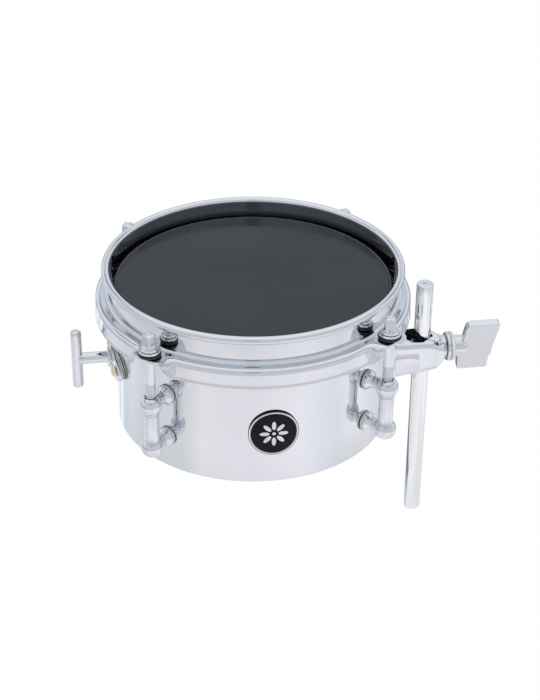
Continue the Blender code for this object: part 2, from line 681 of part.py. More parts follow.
def lug_shape():
    """Tube lug about its tension rod's axis, the shell towards -X: two balls, a tube and two posts."""
    waist = math.degrees(math.asin(TUBE_RADIUS / BALL_RADIUS))
    mouth = ROD_BORE + LUG_MOUTH
    brow = math.degrees(math.acos(mouth / BALL_RADIUS))
    upper = (0.0, LUG_UPPER_Z)
    collar_z = LUG_UPPER_Z - BALL_RADIUS * math.cos(math.radians(waist))
    body = [
        *arc((0.0, LUG_LOWER_Z), BALL_RADIUS, -90.0, 90.0 - waist, 3),
        (TUBE_RADIUS, collar_z - TUBE_COLLAR_DROP - TUBE_COLLAR),
        (TUBE_RADIUS + TUBE_COLLAR, collar_z - TUBE_COLLAR_DROP),
        *arc(upper, BALL_RADIUS, waist - 90.0, brow, 3),
        (0.0, LUG_UPPER_Z + BALL_RADIUS * math.sin(math.radians(brow))),
    ]
    foot = ROD_CIRCLE - SHELL_RADIUS - SEAT_GAP - GASKET_THICKNESS
    flare = foot - POST_FOOT_HEIGHT
    post = [
        (0.0, 0.0),
        (POST_NECK_RADIUS, 0.0),
        (POST_NECK_RADIUS, flare - POST_FLARE),
        (0.5 * (POST_NECK_RADIUS + POST_FOOT_RADIUS), flare - 0.5 * POST_FLARE),
        (POST_FOOT_RADIUS, flare),
        (POST_FOOT_RADIUS, foot),
        (GASKET_RADIUS, foot),
        (GASKET_RADIUS, foot + GASKET_THICKNESS),
        (0.0, foot + GASKET_THICKNESS),
    ]
    posts = []
    bores = []
    for height in (LUG_LOWER_Z, LUG_UPPER_Z):
        lay = (about("Y", -90.0), shift(z=height))
        posts.append(moved(turned(post, SMALL_STEPS), *lay))
        bore = rod(LUG_SCREW_BORE, ROD_CIRCLE - LUG_BORE_END, foot + 2.0 * SHELL_WALL, SMALL_STEPS)
        bores.append(moved(bore, *lay))
    floor = LUG_LOWER_Z + LUG_BORE_FLOOR
    bores.append(rod(ROD_BORE, floor, LUG_UPPER_Z + 2.0 * BALL_RADIUS, SMALL_STEPS))
    joined = combined(turned(body, BODY_STEPS), gathered(*posts), "UNION")
    return combined(joined, gathered(*bores))


def make_lugs(drum):
    """Four tube lugs and the screws, with captive washers, that hold them from inside the shell."""
    shape = mesh_from(lug_shape(), "lug")
    for name, angle in LUG_ANGLES.items():
        place = (ROD_CIRCLE * math.cos(angle), ROD_CIRCLE * math.sin(angle), 0.0)
        add_piece("lug_" + name, shape, CHROME, drum, place, (0.0, 0.0, angle))
    head = (LUG_SCREW_HEAD_RADIUS, LUG_SCREW_HEAD_HEIGHT)
    washer = (LUG_WASHER_RADIUS, LUG_WASHER_THICKNESS)
    for name, place in at_lug_posts().items():
        screw = pan_screw(*head, LUG_SCREW_RADIUS, LUG_SCREW_LENGTH, washer)
        moved(screw, about("Y", -90.0), shift(x=LUG_WASHER_FACE), place)
        add_piece("lug_screw_" + name, screw, STEEL, drum)


def tension_rod_shape():
    """Rod along Z, zero at the underside of its flange, with a square key head."""
    shank = 0.5 * ROD_DIAMETER
    stem = turned(
        [
            (0.0, -ROD_LENGTH), (shank - ROD_POINT, -ROD_LENGTH), (shank, ROD_POINT - ROD_LENGTH),
            (shank, 0.0), (ROD_FLANGE_RADIUS, 0.0), (ROD_FLANGE_RADIUS, 0.3 * ROD_FLANGE_HEIGHT),
            (0.6 * ROD_HEAD_SIDE, ROD_FLANGE_HEIGHT), (0.0, ROD_FLANGE_HEIGHT),
        ],
        BODY_STEPS,
    )
    inset = 0.5 * ROD_HEAD_SIDE - ROD_HEAD_CORNER
    square = []
    for x, y, start in ((1, 1, 0.0), (-1, 1, 90.0), (-1, -1, 180.0), (1, -1, 270.0)):
        square += arc((x * inset, y * inset), ROD_HEAD_CORNER, start, start + 90.0, 1)
    top = ROD_FLANGE_HEIGHT + ROD_HEAD_HEIGHT
    rings = []
    for height, size in ((0.5 * ROD_FLANGE_HEIGHT, 1.0), (top - ROD_HEAD_CORNER, 1.0), (top, 0.8)):
        rings.append([(size * x, size * y, height) for x, y in square])
    return combined(stem, lofted(rings), "UNION")


def make_tension_rods(drum):
    """Four square headed rods, each over a metal washer and a thick cushion washer on the hoop's ear."""
    shape = mesh_from(tension_rod_shape(), "tension_rod")
    for name, angle in LUG_ANGLES.items():
        x = ROD_CIRCLE * math.cos(angle)
        y = ROD_CIRCLE * math.sin(angle)
        add_piece("tension_rod_" + name, shape, CHROME, drum, (x, y, FLANGE_FOOT), (0.0, 0.0, angle))
        washer = ring(ROD_BORE, ROD_WASHER_RADIUS, 0.0, ROD_WASHER_THICKNESS, BODY_STEPS)
        add_piece("rod_washer_" + name, washer, CHROME, drum, (x, y, WASHER_FOOT))
        cushion = ring(ROD_BORE, CUSHION_RADIUS, 0.0, CUSHION_THICKNESS, BODY_STEPS)
        add_piece("rod_cushion_" + name, cushion, BLACK_NYLON, drum, (x, y, CUSHION_FOOT))


def oval(half_length, half_height, steps):
    """Oval with round ends and gently bowed sides."""
    points = []
    for i in range(steps):
        angle = TURN * i / steps
        x = math.copysign(abs(math.cos(angle)) ** 0.75, math.cos(angle))
        y = math.copysign(abs(math.sin(angle)) ** 0.85, math.sin(angle))
        points.append((half_length * x, half_height * y))
    return points


def make_strainer(drum):
    """Fixed part of the snare throw: plate, gasket, screws and the bearing of the shaft."""
    turn = (0.0, 0.0, math.pi)
    place = (0.0, 0.0, SHAFT_Z)
    near = SHELL_BORE
    far = STRAINER_FRONT + SHELL_WALL
    spread = math.degrees(STRAINER_SCREW_SPREAD / SHELL_RADIUS)

    def pierce(shape):
        holes = [hole_along_x(BEARING_BORE, near, far, BODY_STEPS)]
        for side in SIDES.values():
            screw_hole = hole_along_x(STRAINER_SCREW_BORE, near, far)
            holes.append(moved(screw_hole, about("Z", side * spread)))
        return combined(shape, gathered(*holes))

    outline = oval(STRAINER_HALF_LENGTH, STRAINER_HALF_HEIGHT, 20)
    plate = wrapped(outline, FITTING_FACE, STRAINER_FRONT, 5)
    add_piece("strainer_plate", pierce(plate), CHROME, drum, place, turn)
    low = SHELL_RADIUS + SEAT_GAP
    gasket = wrapped(outline, low, low + GASKET_THICKNESS, 5)
    add_piece("strainer_gasket", pierce(gasket), RUBBER, drum, place, turn)

    nut_face = SHELL_BORE - SEAT_GAP - sag(SHELL_BORE, STRAINER_NUT_RADIUS)
    length = STRAINER_FRONT + SEAT_GAP - nut_face + STRAINER_NUT_HEIGHT
    for name, matrix in at_strainer_screws().items():
        screw = pan_screw(STRAINER_HEAD_RADIUS, STRAINER_HEAD_HEIGHT, STRAINER_SCREW_RADIUS, length)
        moved(screw, to_x(), shift(x=STRAINER_FRONT + SEAT_GAP), matrix)
        add_piece("strainer_screw_" + name, screw, BRASS, drum)
        nut = slab(round_hexagon(STRAINER_NUT_RADIUS), nut_face - STRAINER_NUT_HEIGHT, nut_face)
        nut = combined(nut, rod(STRAINER_SCREW_BORE, 0.0, SHELL_RADIUS, SMALL_STEPS))
        add_piece("strainer_nut_" + name, moved(nut, to_x(), matrix), STEEL, drum)

    flange = STRAINER_FRONT + SEAT_GAP
    bearing = [
        (SHAFT_BORE, SHELL_BORE - BEARING_INSIDE),
        (BEARING_RADIUS, SHELL_BORE - BEARING_INSIDE),
        (BEARING_RADIUS, flange),
        (BEARING_FLANGE_RADIUS, flange),
        (BEARING_FLANGE_RADIUS, flange + BEARING_FLANGE_THICKNESS),
        (SHAFT_BORE, flange + BEARING_FLANGE_THICKNESS),
    ]
    add_piece("shaft_bearing", moved(turned(bearing, BODY_STEPS), to_x()), CHROME, drum, place, turn)
    nut_face = SHELL_BORE - SEAT_GAP - sag(SHELL_BORE, BEARING_NUT_RADIUS)
    nut = slab(round_hexagon(BEARING_NUT_RADIUS), nut_face - BEARING_NUT_HEIGHT, nut_face)
    nut = combined(nut, rod(BEARING_BORE, 0.0, SHELL_RADIUS, BODY_STEPS))
    add_piece("bearing_nut", moved(nut, to_x()), STEEL, drum, place, turn)


def cradle_arm_shape(side):
    """Arm from its hub on the shaft up to the flange under the wires; side is -1 or 1 along X."""
    rise = ARM_TOP - SHAFT_Z
    front = 0.5 * ARM_TOP_WIDTH + side * WIRE_LEAD
    back = 0.5 * ARM_TOP_WIDTH - side * WIRE_LEAD
    lean = side * WIRE_LEAD * ARM_WAIST_RISE
    web = [
        *arc((0.0, 0.0), ARM_HUB_RADIUS, 200.0, 340.0, 5),
        (0.5 * ARM_WAIST_WIDTH - lean, ARM_WAIST_RISE * rise),
        (back, ARM_SHOULDER_RISE * rise),
        (back, rise),
        (-front, rise),
        (-front, ARM_SHOULDER_RISE * rise),
        (-0.5 * ARM_WAIST_WIDTH - lean, ARM_WAIST_RISE * rise),
    ]
    upright = Matrix(((0, 0, 1, 0), (1, 0, 0, 0), (0, 1, 0, 0), (0, 0, 0, 1)))
    plate = moved(slab(web, WEB_INNER, CRADLE_HALF_LENGTH), upright)
    inside = CRADLE_HALF_LENGTH - 0.5 * ARM_THICKNESS
    shelf = box((FLANGE_END, -front, rise - ARM_FLANGE_THICKNESS), (inside, back, rise))
    hub = hole_along_x(ARM_HUB_RADIUS, CRADLE_HALF_LENGTH - ARM_HUB_WIDTH, inside, BODY_STEPS)
    shape = combined(combined(plate, shelf, "UNION"), hub, "UNION")
    screw_hole = rod(PLATE_SCREW_BORE, rise - 2.0 * ARM_FLANGE_THICKNESS, rise + ARM_THICKNESS, SMALL_STEPS)
    shape = combined(shape, moved(screw_hole, shift(PLATE_SCREW_X, -side * WIRE_LEAD)))
    bore = hole_along_x(SHAFT_BORE, WEB_INNER - ARM_HUB_WIDTH, CRADLE_HALF_LENGTH + ARM_THICKNESS)
    grub_hole = moved(rod(SET_SCREW_BORE, -2.0 * ARM_HUB_RADIUS, 0.0, SMALL_STEPS), shift(x=GRUB_X))
    shape = combined(shape, combined(bore, grub_hole, "UNION"))
    return moved(shape, about("Z", 180.0 if side < 0 else 0.0))


def make_snare_throw(drum):
    """Moving part of the snare throw, all about the shaft's axis: handle, shaft, cradle and wires."""
    throw = add_frame("snare_throw_axis", (0.0, 0.0, SHAFT_Z), drum)
    shaft = hole_along_x(SHAFT_RADIUS, -HANDLE_X, SHAFT_END, BODY_STEPS)
    saddle = rod(HANDLE_RADIUS + SEAT_GAP, -HANDLE_LENGTH, HANDLE_LENGTH, 2 * BODY_STEPS)
    add_piece("throw_shaft", combined(shaft, moved(saddle, shift(x=-HANDLE_X))), CHROME, throw)

    reach = 0.5 * HANDLE_LENGTH - HANDLE_RADIUS
    bar = [
        *arc((0.0, -reach), HANDLE_RADIUS, -90.0, 0.0, 3),
        *arc((0.0, reach), HANDLE_RADIUS, 0.0, 90.0, 3),
    ]
    add_piece("throw_handle_bar", turned(bar, BODY_STEPS), CHROME, throw, (-HANDLE_X, 0.0, 0.0))

    end = SHELL_BORE - BEARING_INSIDE - SEAT_GAP
    collar = ring(SHAFT_BORE, SHAFT_COLLAR_RADIUS, -end, SHAFT_COLLAR_WIDTH - end, BODY_STEPS)
    add_piece("shaft_collar", moved(collar, to_x()), STEEL, throw)

    top = END_PLATE_TOP - SHAFT_Z
    for name, side in (("left", -1), ("right", 1)):
        face = about("Z", 180.0 if side < 0 else 0.0)
        add_piece("cradle_arm_" + name, cradle_arm_shape(side), STEEL, throw)
        grub = rod(SET_SCREW_RADIUS, -ARM_HUB_RADIUS - SET_SCREW_STAND, -SHAFT_RADIUS - SEAT_GAP, SMALL_STEPS)
        add_piece("arm_set_screw_" + name, moved(grub, shift(x=GRUB_X), face), STEEL, throw)
        screw = pan_screw(PLATE_HEAD_RADIUS, PLATE_HEAD_HEIGHT, PLATE_SCREW_RADIUS, PLATE_SCREW_LENGTH)
        moved(screw, shift(PLATE_SCREW_X, 0.0, top + SEAT_GAP), face, shift(y=-WIRE_LEAD))
        add_piece("snare_plate_screw_" + name, screw, STEEL, throw)
    add_piece("snare_wires", snare_wires_shape(top), STEEL, throw)


def snare_wires_shape(top):
    """Row of wires soldered on two end plates, about the shaft's axis; top is the plates' upper face."""
    half_width = 0.5 * ARM_TOP_WIDTH
    plates = []
    for side in (-1, 1):
        plate = box((FLANGE_END, -half_width, top - END_PLATE_THICKNESS), (WEB_INNER, half_width, top))
        hole = rod(PLATE_SCREW_BORE, top - ARM_THICKNESS, top + ARM_THICKNESS, SMALL_STEPS)
        plate = combined(plate, moved(hole, shift(PLATE_SCREW_X)))
        plates.append(moved(plate, about("Z", 180.0 if side < 0 else 0.0)))
    wires = []
    for i in range(WIRE_COUNT):
        across = (i - 0.5 * (WIRE_COUNT - 1)) * WIRE_PITCH
        wire = hole_along_x(WIRE_RADIUS, -WIRE_END, WIRE_END, WIRE_STEPS)
        wires.append(moved(wire, shift(y=across, z=WIRE_TOP - WIRE_RADIUS - SHAFT_Z)))
    row = combined(gathered(*plates), gathered(*wires), "UNION")
    return moved(row, shift(y=-WIRE_LEAD))


def rounded_outline(half_width, low, high, corner, steps=3):
    """Rounded rectangle of (across, height) points, from the lower right corner round to the right side."""
    points = []
    for x, y, start in ((1, -1, -90.0), (1, 1, 0.0), (-1, 1, 90.0), (-1, -1, 180.0)):
        centre_y = (high - corner) if y > 0 else (low + corner)
        points += arc((x * (half_width - corner), centre_y), corner, start, start + 90.0, steps)
    return points


def bracket_shape():
    """Clamp bracket about the crossing of rod and bolt: a loft along X from a flared foot to a round neck."""
    foot = (FOOT_HALF_WIDTH, FOOT_TOP, FOOT_BOTTOM, BRACKET_CORNER)
    curve = sag(FITTING_FACE, FOOT_HALF_WIDTH)
    rows = [(BRACKET_FOOT_X - curve - SEAT_GAP, *foot), (BRACKET_FOOT_X + FOOT_THICKNESS, *foot)]
    neck = BRACKET_NECK_RADIUS
    for share, wide, tall, deep in BRACKET_PROFILE:
        x = BRACKET_FOOT_X + share * (BRACKET_NOSE - BRACKET_FOOT_X)
        half_width = neck + wide * (BRACKET_HALF_WIDTH - neck)
        high = neck + tall * (BRACKET_TOP - neck)
        low = neck + deep * (BRACKET_BOTTOM - neck)
        corner = neck - min(wide, 1.0) * (neck - BRACKET_CORNER)
        rows.append((x, half_width, high, low, corner))
    rings = []
    for x, half_width, high, low, corner in rows:
        section = rounded_outline(half_width, -low, high, corner, 2)
        rings.append([(x, across, height) for across, height in section])
    shape = lofted(rings)

    tall = 3.0 * FOOT_BOTTOM
    seat_cut = moved(rod(FITTING_FACE, -tall, tall, 2 * RING_STEPS), shift(x=-ROD_REACH))
    apex = ROD_SEAT * math.sqrt(2.0)
    slot = [
        *arc((SLOT_HALF_WIDTH - SLOT_REAR, 0.0), SLOT_HALF_WIDTH, 90.0, 270.0, 8),
        (apex - SLOT_HALF_WIDTH, -SLOT_HALF_WIDTH),
        (apex - SLOT_BLUNT, -SLOT_BLUNT),
        (apex - SLOT_BLUNT, SLOT_BLUNT),
        (apex - SLOT_HALF_WIDTH, SLOT_HALF_WIDTH),
    ]
    pocket_radius = EYE_RADIUS + SEAT_GAP
    pocket = [
        *arc((EYE_CENTRE, 0.0), pocket_radius, -90.0, 90.0, 8),
        (-SLOT_HALF_WIDTH, pocket_radius),
        (-SLOT_HALF_WIDTH, -pocket_radius),
    ]
    half_eye = 0.5 * EYE_HEIGHT + SEAT_GAP
    shape = combined(shape, seat_cut)
    shape = combined(shape, slab(slot, -tall, tall))
    shape = combined(shape, slab(pocket, -half_eye, half_eye))
    shape = combined(shape, hole_along_x(BOLT_RADIUS + BORE_GAP, 0.0, 2.0 * BRACKET_NOSE, BODY_STEPS))
    bores = []
    for side in SIDES.values():
        bore = hole_along_x(BRACKET_SCREW_BORE, 2.0 * BRACKET_FOOT_X, BRACKET_BORE_END)
        bores.append(moved(bore, shift(y=side * BRACKET_SCREW_SPREAD, z=-BRACKET_SCREW_DROP)))
    shape = combined(shape, gathered(*bores))
    panels = []
    start = BRACKET_FOOT_X + FOOT_FLARE
    for side in SIDES.values():
        near = side * (BRACKET_HALF_WIDTH - PANEL_DEPTH)
        far = side * 2.0 * BRACKET_HALF_WIDTH
        low_corner = (start, min(near, far), -2.0 * BRACKET_BOTTOM)
        panels.append(box(low_corner, (start + PANEL_LENGTH, max(near, far), 0.0)))
    return combined(shape, gathered(*panels))


def make_bracket(drum):
    """Bracket with its gasket, the backing plate inside the shell and the screws between them."""
    add_piece("bracket_body", bracket_shape(), CHROME, drum, (ROD_REACH, 0.0, CLAMP_Z))

    def pierce(shape, near, far):
        hole = (BRACKET_SCREW_BORE, near, far)
        holes = [moved(hole_along_x(*hole), place) for place in at_bracket_screws().values()]
        return combined(shape, gathered(*holes))

    low = SHELL_RADIUS + SEAT_GAP
    foot = rounded_outline(FOOT_HALF_WIDTH, CLAMP_Z - FOOT_BOTTOM, CLAMP_Z + FOOT_TOP, BRACKET_CORNER)
    gasket = wrapped(foot, low, low + GASKET_THICKNESS, 4)
    add_piece("bracket_gasket", pierce(gasket, SHELL_BORE, FITTING_FACE + SHELL_WALL), RUBBER, drum)

    floor = CLAMP_Z - BRACKET_SCREW_DROP - BACKING_MARGIN
    backing = rounded_outline(BACKING_HALF_WIDTH, floor, SHAFT_Z + BACKING_MARGIN, BRACKET_CORNER)
    plate = wrapped(backing, BACKING_FACE, BACKING_FACE + BACKING_THICKNESS, 4)
    inside = BACKING_FACE - 2.0 * BACKING_THICKNESS
    plate = pierce(plate, inside, SHELL_RADIUS)
    bush_hole = hole_along_x(BUSH_RADIUS + BORE_GAP, inside, SHELL_RADIUS, BODY_STEPS)
    plate = combined(plate, moved(bush_hole, shift(z=SHAFT_Z)))
    add_piece("backing_plate", plate, STEEL, drum)

    flange = BACKING_FACE - SEAT_GAP - sag(BACKING_FACE, BUSH_FLANGE_RADIUS)
    bush = [
        (SHAFT_BORE, flange - BUSH_FLANGE_THICKNESS),
        (BUSH_FLANGE_RADIUS, flange - BUSH_FLANGE_THICKNESS),
        (BUSH_FLANGE_RADIUS, flange),
        (BUSH_RADIUS, flange),
        (BUSH_RADIUS, SHAFT_END),
        (SHAFT_BORE, SHAFT_END),
    ]
    add_piece("shaft_end_bush", moved(turned(bush, BODY_STEPS), to_x()), IVORY, drum, (0.0, 0.0, SHAFT_Z))

    head = (BRACKET_SCREW_HEAD_RADIUS, BRACKET_SCREW_HEAD_HEIGHT)
    washer = (BRACKET_WASHER_RADIUS, BRACKET_WASHER_THICKNESS)
    for name, place in at_bracket_screws().items():
        screw = pan_screw(*head, BRACKET_SCREW_RADIUS, BRACKET_SCREW_LENGTH, washer)
        moved(screw, about("Y", -90.0), shift(x=BRACKET_SEAT_X), place)
        add_piece("bracket_screw_" + name, screw, STEEL, drum)


def make_clamp():
    """Mounting rod, the eye bolt round it, and the washers and wing nut that pull it into its seat."""
    bottom = MOUNT_ROD_ABOVE - MOUNT_ROD_LENGTH
    edge = MOUNT_ROD_RADIUS - MOUNT_ROD_CHAMFER
    outline = [
        (0.0, bottom),
        (edge, bottom),
        (MOUNT_ROD_RADIUS, bottom + MOUNT_ROD_CHAMFER),
        (MOUNT_ROD_RADIUS, MOUNT_ROD_ABOVE - MOUNT_ROD_CHAMFER),
        (edge, MOUNT_ROD_ABOVE),
        (ROD_CENTRE_RADIUS, MOUNT_ROD_ABOVE),
        (0.6 * ROD_CENTRE_RADIUS, MOUNT_ROD_ABOVE - ROD_CENTRE_DEPTH),
        (0.0, MOUNT_ROD_ABOVE - ROD_CENTRE_DEPTH),
    ]
    add_piece("mounting_rod", turned(outline, BODY_STEPS), CHROME)

    half = 0.5 * EYE_HEIGHT
    eye = [
        (EYE_HOLE_RADIUS, -half), (EYE_RADIUS - EYE_ROUND, -half), (EYE_RADIUS, EYE_ROUND - half),
        (EYE_RADIUS, half - EYE_ROUND), (EYE_RADIUS - EYE_ROUND, half), (EYE_HOLE_RADIUS, half),
    ]
    eye = moved(turned(eye, BODY_STEPS + SCREW_STEPS), shift(x=EYE_CENTRE))
    shank_start = EYE_CENTRE + EYE_HOLE_RADIUS + 0.5 * EYE_WALL
    shank = hole_along_x(BOLT_RADIUS, shank_start, BOLT_REACH, BODY_STEPS)
    add_piece("eye_bolt", combined(eye, shank, "UNION"), STEEL)

    hole = BOLT_RADIUS + BORE_GAP
    face = WASHER_X + CLAMP_WASHER_THICKNESS
    washer = [
        (hole, WASHER_X), (CLAMP_WASHER_RADIUS - CLAMP_WASHER_ROUND, WASHER_X),
        (CLAMP_WASHER_RADIUS, WASHER_X + CLAMP_WASHER_ROUND), (CLAMP_WASHER_RADIUS, face), (hole, face),
    ]
    add_piece("clamp_washer", moved(turned(washer, BODY_STEPS), to_x()), CHROME)
    cushion = ring(hole, CLAMP_CUSHION_RADIUS, CUSHION_X, CUSHION_X + CLAMP_CUSHION_THICKNESS, BODY_STEPS)
    add_piece("clamp_cushion", moved(cushion, to_x()), IVORY)

    add_piece("wing_nut", wing_nut_shape(), CHROME)


def wing_nut_shape():
    """Hub with a blind thread and one flat key of two unlike wings, leaning a little forward."""
    shoulder = WING_CUT - WING_SHOULDER
    wings = [
        (WING_ROOT - WING_HEEL, -WING_BOTTOM),
        (WING_STEP, -WING_BOTTOM),
        (WING_STEP, -WING_SHOULDER),
        (WING_STEP + WING_LEAN, shoulder),
        (WING_LENGTH, WING_TOP),
        (WING_ROOT + WING_CROWN, WING_TOP),
        (WING_ROOT + WING_THROAT, 0.58 * WING_TOP),
        (WING_ROOT, 0.0),
        (WING_ROOT - WING_WAIST, shoulder),
    ]
    half = 0.5 * WING_THICKNESS
    plate = slab(wings, -half, half)
    bmesh.ops.bevel(plate, geom=plate.edges[:], offset=WING_EDGE, segments=1, affect="EDGES")
    close_up(plate)
    stand = Matrix(((1, 0, 0, HUB_X), (0, 0, -1, 0), (0, 1, 0, 0), (0, 0, 0, 1)))
    hub = turned(
        [
            (0.0, 0.0), (HUB_RADIUS, 0.0), (HUB_RADIUS, WING_ROOT), (0.78 * HUB_RADIUS, 0.86 * HUB_LENGTH),
            (0.3 * HUB_RADIUS, HUB_LENGTH), (0.0, HUB_LENGTH),
        ],
        BODY_STEPS,
    )
    shape = combined(moved(plate, stand), moved(hub, to_x(), shift(x=HUB_X)), "UNION")
    bore = hole_along_x(BOLT_RADIUS + BORE_GAP, 0.0, BOLT_REACH + 2.0 * BORE_GAP)
    return moved(combined(shape, bore), Matrix.Rotation(WING_TILT, 4, "X"))


def make_badge(drum):
    """Round badge on the front of the shell: a chromed pan with a raised rim and an enamel disc in it."""
    front = (0.0, 0.0, -0.5 * math.pi)
    place = (0.0, 0.0, BADGE_Z)
    low = SHELL_RADIUS + SEAT_GAP
    floor = low + BADGE_BASE
    top = floor + BADGE_RIM_HEIGHT
    well = BADGE_RADIUS - BADGE_RIM

    def disc(radius, inner, outer):
        outline = arc((0.0, 0.0), radius, 0.0, 360.0 - 360.0 / BADGE_STEPS, BADGE_STEPS - 1)
        return wrapped(outline, inner, outer, 4)

    pan = combined(disc(BADGE_RADIUS, low, top), disc(well, floor, top + BADGE_BASE))
    add_piece("badge_rim", pan, CHROME, drum, place, front)
    add_piece("badge_disc", disc(well - SEAT_GAP, floor + SEAT_GAP, top), ENAMEL, drum, place, front)


def main():
    clear_scene()
    drum = add_frame("drum_axis", (-ROD_REACH, 0.0, -CLAMP_Z))
    make_shell(drum)
    make_drumhead(drum)
    make_hoop(drum)
    make_lugs(drum)
    make_tension_rods(drum)
    make_strainer(drum)
    make_snare_throw(drum)
    make_bracket(drum)
    make_clamp()
    make_badge(drum)


main()
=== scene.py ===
import math

import bmesh
import bpy
import numpy as np
from mathutils import Matrix, Vector


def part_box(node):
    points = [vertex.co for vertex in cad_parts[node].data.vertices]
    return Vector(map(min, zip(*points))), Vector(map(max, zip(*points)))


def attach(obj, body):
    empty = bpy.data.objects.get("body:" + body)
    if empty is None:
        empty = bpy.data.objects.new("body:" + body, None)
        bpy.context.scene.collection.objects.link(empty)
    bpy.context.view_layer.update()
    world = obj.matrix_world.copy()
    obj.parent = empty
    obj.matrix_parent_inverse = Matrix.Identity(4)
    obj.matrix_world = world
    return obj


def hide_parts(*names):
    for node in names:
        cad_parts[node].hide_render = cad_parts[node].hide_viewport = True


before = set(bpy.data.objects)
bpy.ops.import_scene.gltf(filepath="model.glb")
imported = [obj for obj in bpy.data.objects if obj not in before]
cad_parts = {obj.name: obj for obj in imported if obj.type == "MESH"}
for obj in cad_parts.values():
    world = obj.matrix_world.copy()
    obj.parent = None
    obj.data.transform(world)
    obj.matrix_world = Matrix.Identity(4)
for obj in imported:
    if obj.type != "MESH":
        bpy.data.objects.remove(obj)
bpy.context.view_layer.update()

MM = 0.001
FULL_TURN = 2.0 * math.pi


def limits(node):
    """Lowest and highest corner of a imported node, in millimetres."""
    return [np.array(corner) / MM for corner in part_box(node)]


# Photograph's camera
IMAGE_WIDTH = 540
IMAGE_HEIGHT = 700
FOCAL_PIXELS = 1740.8
CENTRE_X = 238.0          # pixel that the lens axis passes through
CENTRE_Y = 344.9
CAMERA_PLACE = (-221.3 * MM, -829.6 * MM, 510.6 * MM)
CAMERA_ELEVATION = math.radians(30.83)
CAMERA_TURN = math.radians(-7.94)
SENSOR = 36.0

# Places read from the frame
SHELL_LOW, SHELL_HIGH = limits("shell")
DRUM_X = 0.5 * (SHELL_LOW[0] + SHELL_HIGH[0])
DRUM_Z = SHELL_LOW[2]
SHELL_RADIUS = 0.5 * (SHELL_HIGH[0] - SHELL_LOW[0])
SHELL_HEIGHT = SHELL_HIGH[2] - SHELL_LOW[2]
HOOP_TOP = limits("hoop")[1][2] - DRUM_Z

CORNERS = {"front_left": -135.0, "front_right": -45.0, "rear_right": 45.0, "rear_left": 135.0}
HANDS = {"left": -1, "right": 1}
SIDES = {"rear": -1, "front": 1}

# Screws: head radius, head height, shank radius, length, and washer radius and thickness
LUG_SCREW = (3.5, 2.4, 1.9, 10.0, (4.6, 1.0))
BRACKET_SCREW = (4.0, 2.8, 2.0, 12.5, (4.4, 1.0))
STRAINER_SCREW = (3.3, 2.0, 1.5, 7.6)
WIRE_SCREW = (1.7, 0.9, 0.9, 3.4)
SCREW_PITCH = 0.8
SCREW_DEPTH = 0.18

# Shell
SHELL_WALL = 1.5
SHELL_BORE = SHELL_RADIUS - SHELL_WALL
EDGE_ROUND = 2.2
EDGE_FLANGE = 2.4
EDGE_CROWN = SHELL_RADIUS - EDGE_ROUND      # centre of the bearing edge's round
EDGE_TOP = SHELL_HEIGHT - EDGE_ROUND
LIP_WIDTH = 4.0
LIP_ROUND = 1.5
SEAT = 0.3                # room between two pieces that touch

# Head and flesh hoop
FILM = 0.3
COLLAR_OUTER = SHELL_RADIUS + 1.3
FLESH_LOW = 68.0
FLESH_HEIGHT = 7.0
FLESH_WIDTH = 6.8

# Hoop
SHEET = 1.6
BEAD = 2.2
LEDGE_TOP = HOOP_TOP - 16.3
SKIRT_DROP = 27.8
HOOP_INNER = COLLAR_OUTER + 1.0
SKIRT_RADIUS = 86.75
SKIRT_FLARE = 0.25
SKIRT_BEND = 2.2
WALL_BEND = 1.6
ROD_CIRCLE = 89.3
EAR_EDGE = 94.3
EAR_WIDTH = 16.4
EAR_ROUND = 1.2
GUSSET_WIDTH = 8.5
SHEET_NOSE = 0.5

# Tension rods
ROD_RADIUS = 2.75
ROD_LENGTH = 47.3
ROD_PITCH = 1.06
ROD_PLAIN = 20.0          # how far down the rod is smooth
CUSHION_THICKNESS = 1.8
CUSHION_RADIUS = 6.4
WASHER_THICKNESS = 1.2
WASHER_RADIUS = 5.9
HEAD_TURNS = {"front_left": 81.0, "front_right": 36.5, "rear_right": 60.0, "rear_left": 15.0}     # degrees
CUSHION_FOOT = LEDGE_TOP + SEAT
WASHER_FOOT = CUSHION_FOOT + CUSHION_THICKNESS + SEAT
FLANGE_FOOT = WASHER_FOOT + WASHER_THICKNESS + SEAT
KEY_HEAD = (              # height, half width, and power of the outline from round (2) to square
    (0.0, 2.4, 2.0), (0.0, 5.1, 2.0), (0.12, 5.3, 2.0), (0.35, 5.35, 2.0), (0.6, 5.25, 2.0),
    (0.74, 4.95, 2.0), (0.8, 4.3, 2.0), (0.83, 4.05, 2.0), (0.95, 4.0, 2.0), (1.2, 4.0, 2.1),
    (1.6, 3.7, 2.3), (2.1, 3.35, 3.0), (2.7, 3.08, 5.0), (3.3, 2.97, 6.0), (7.5, 2.93, 6.0),
    (7.9, 2.8, 5.0), (8.3, 2.4, 3.4), (8.55, 1.85, 2.6), (8.65, 1.3, 2.2), (8.6, 1.0, 2.0),
    (8.35, 0.6, 2.0),
)

# Lugs
BALL_RADIUS = 6.1
TUBE_RADIUS = 4.0
LUG_HEIGHTS = {"lower": 20.1, "upper": 46.5}
LUG_BORE_DEPTH = 9.0
POST_ROOT = 2.0           # from the tension rod's axis to where a post starts, inside its ball
POST_NECK = 3.2
POST_FOOT = 5.3
GASKET_RADIUS = 5.6
GASKET_THICKNESS = 0.8
FITTING_FACE = SHELL_RADIUS + GASKET_THICKNESS + 2.0 * SEAT

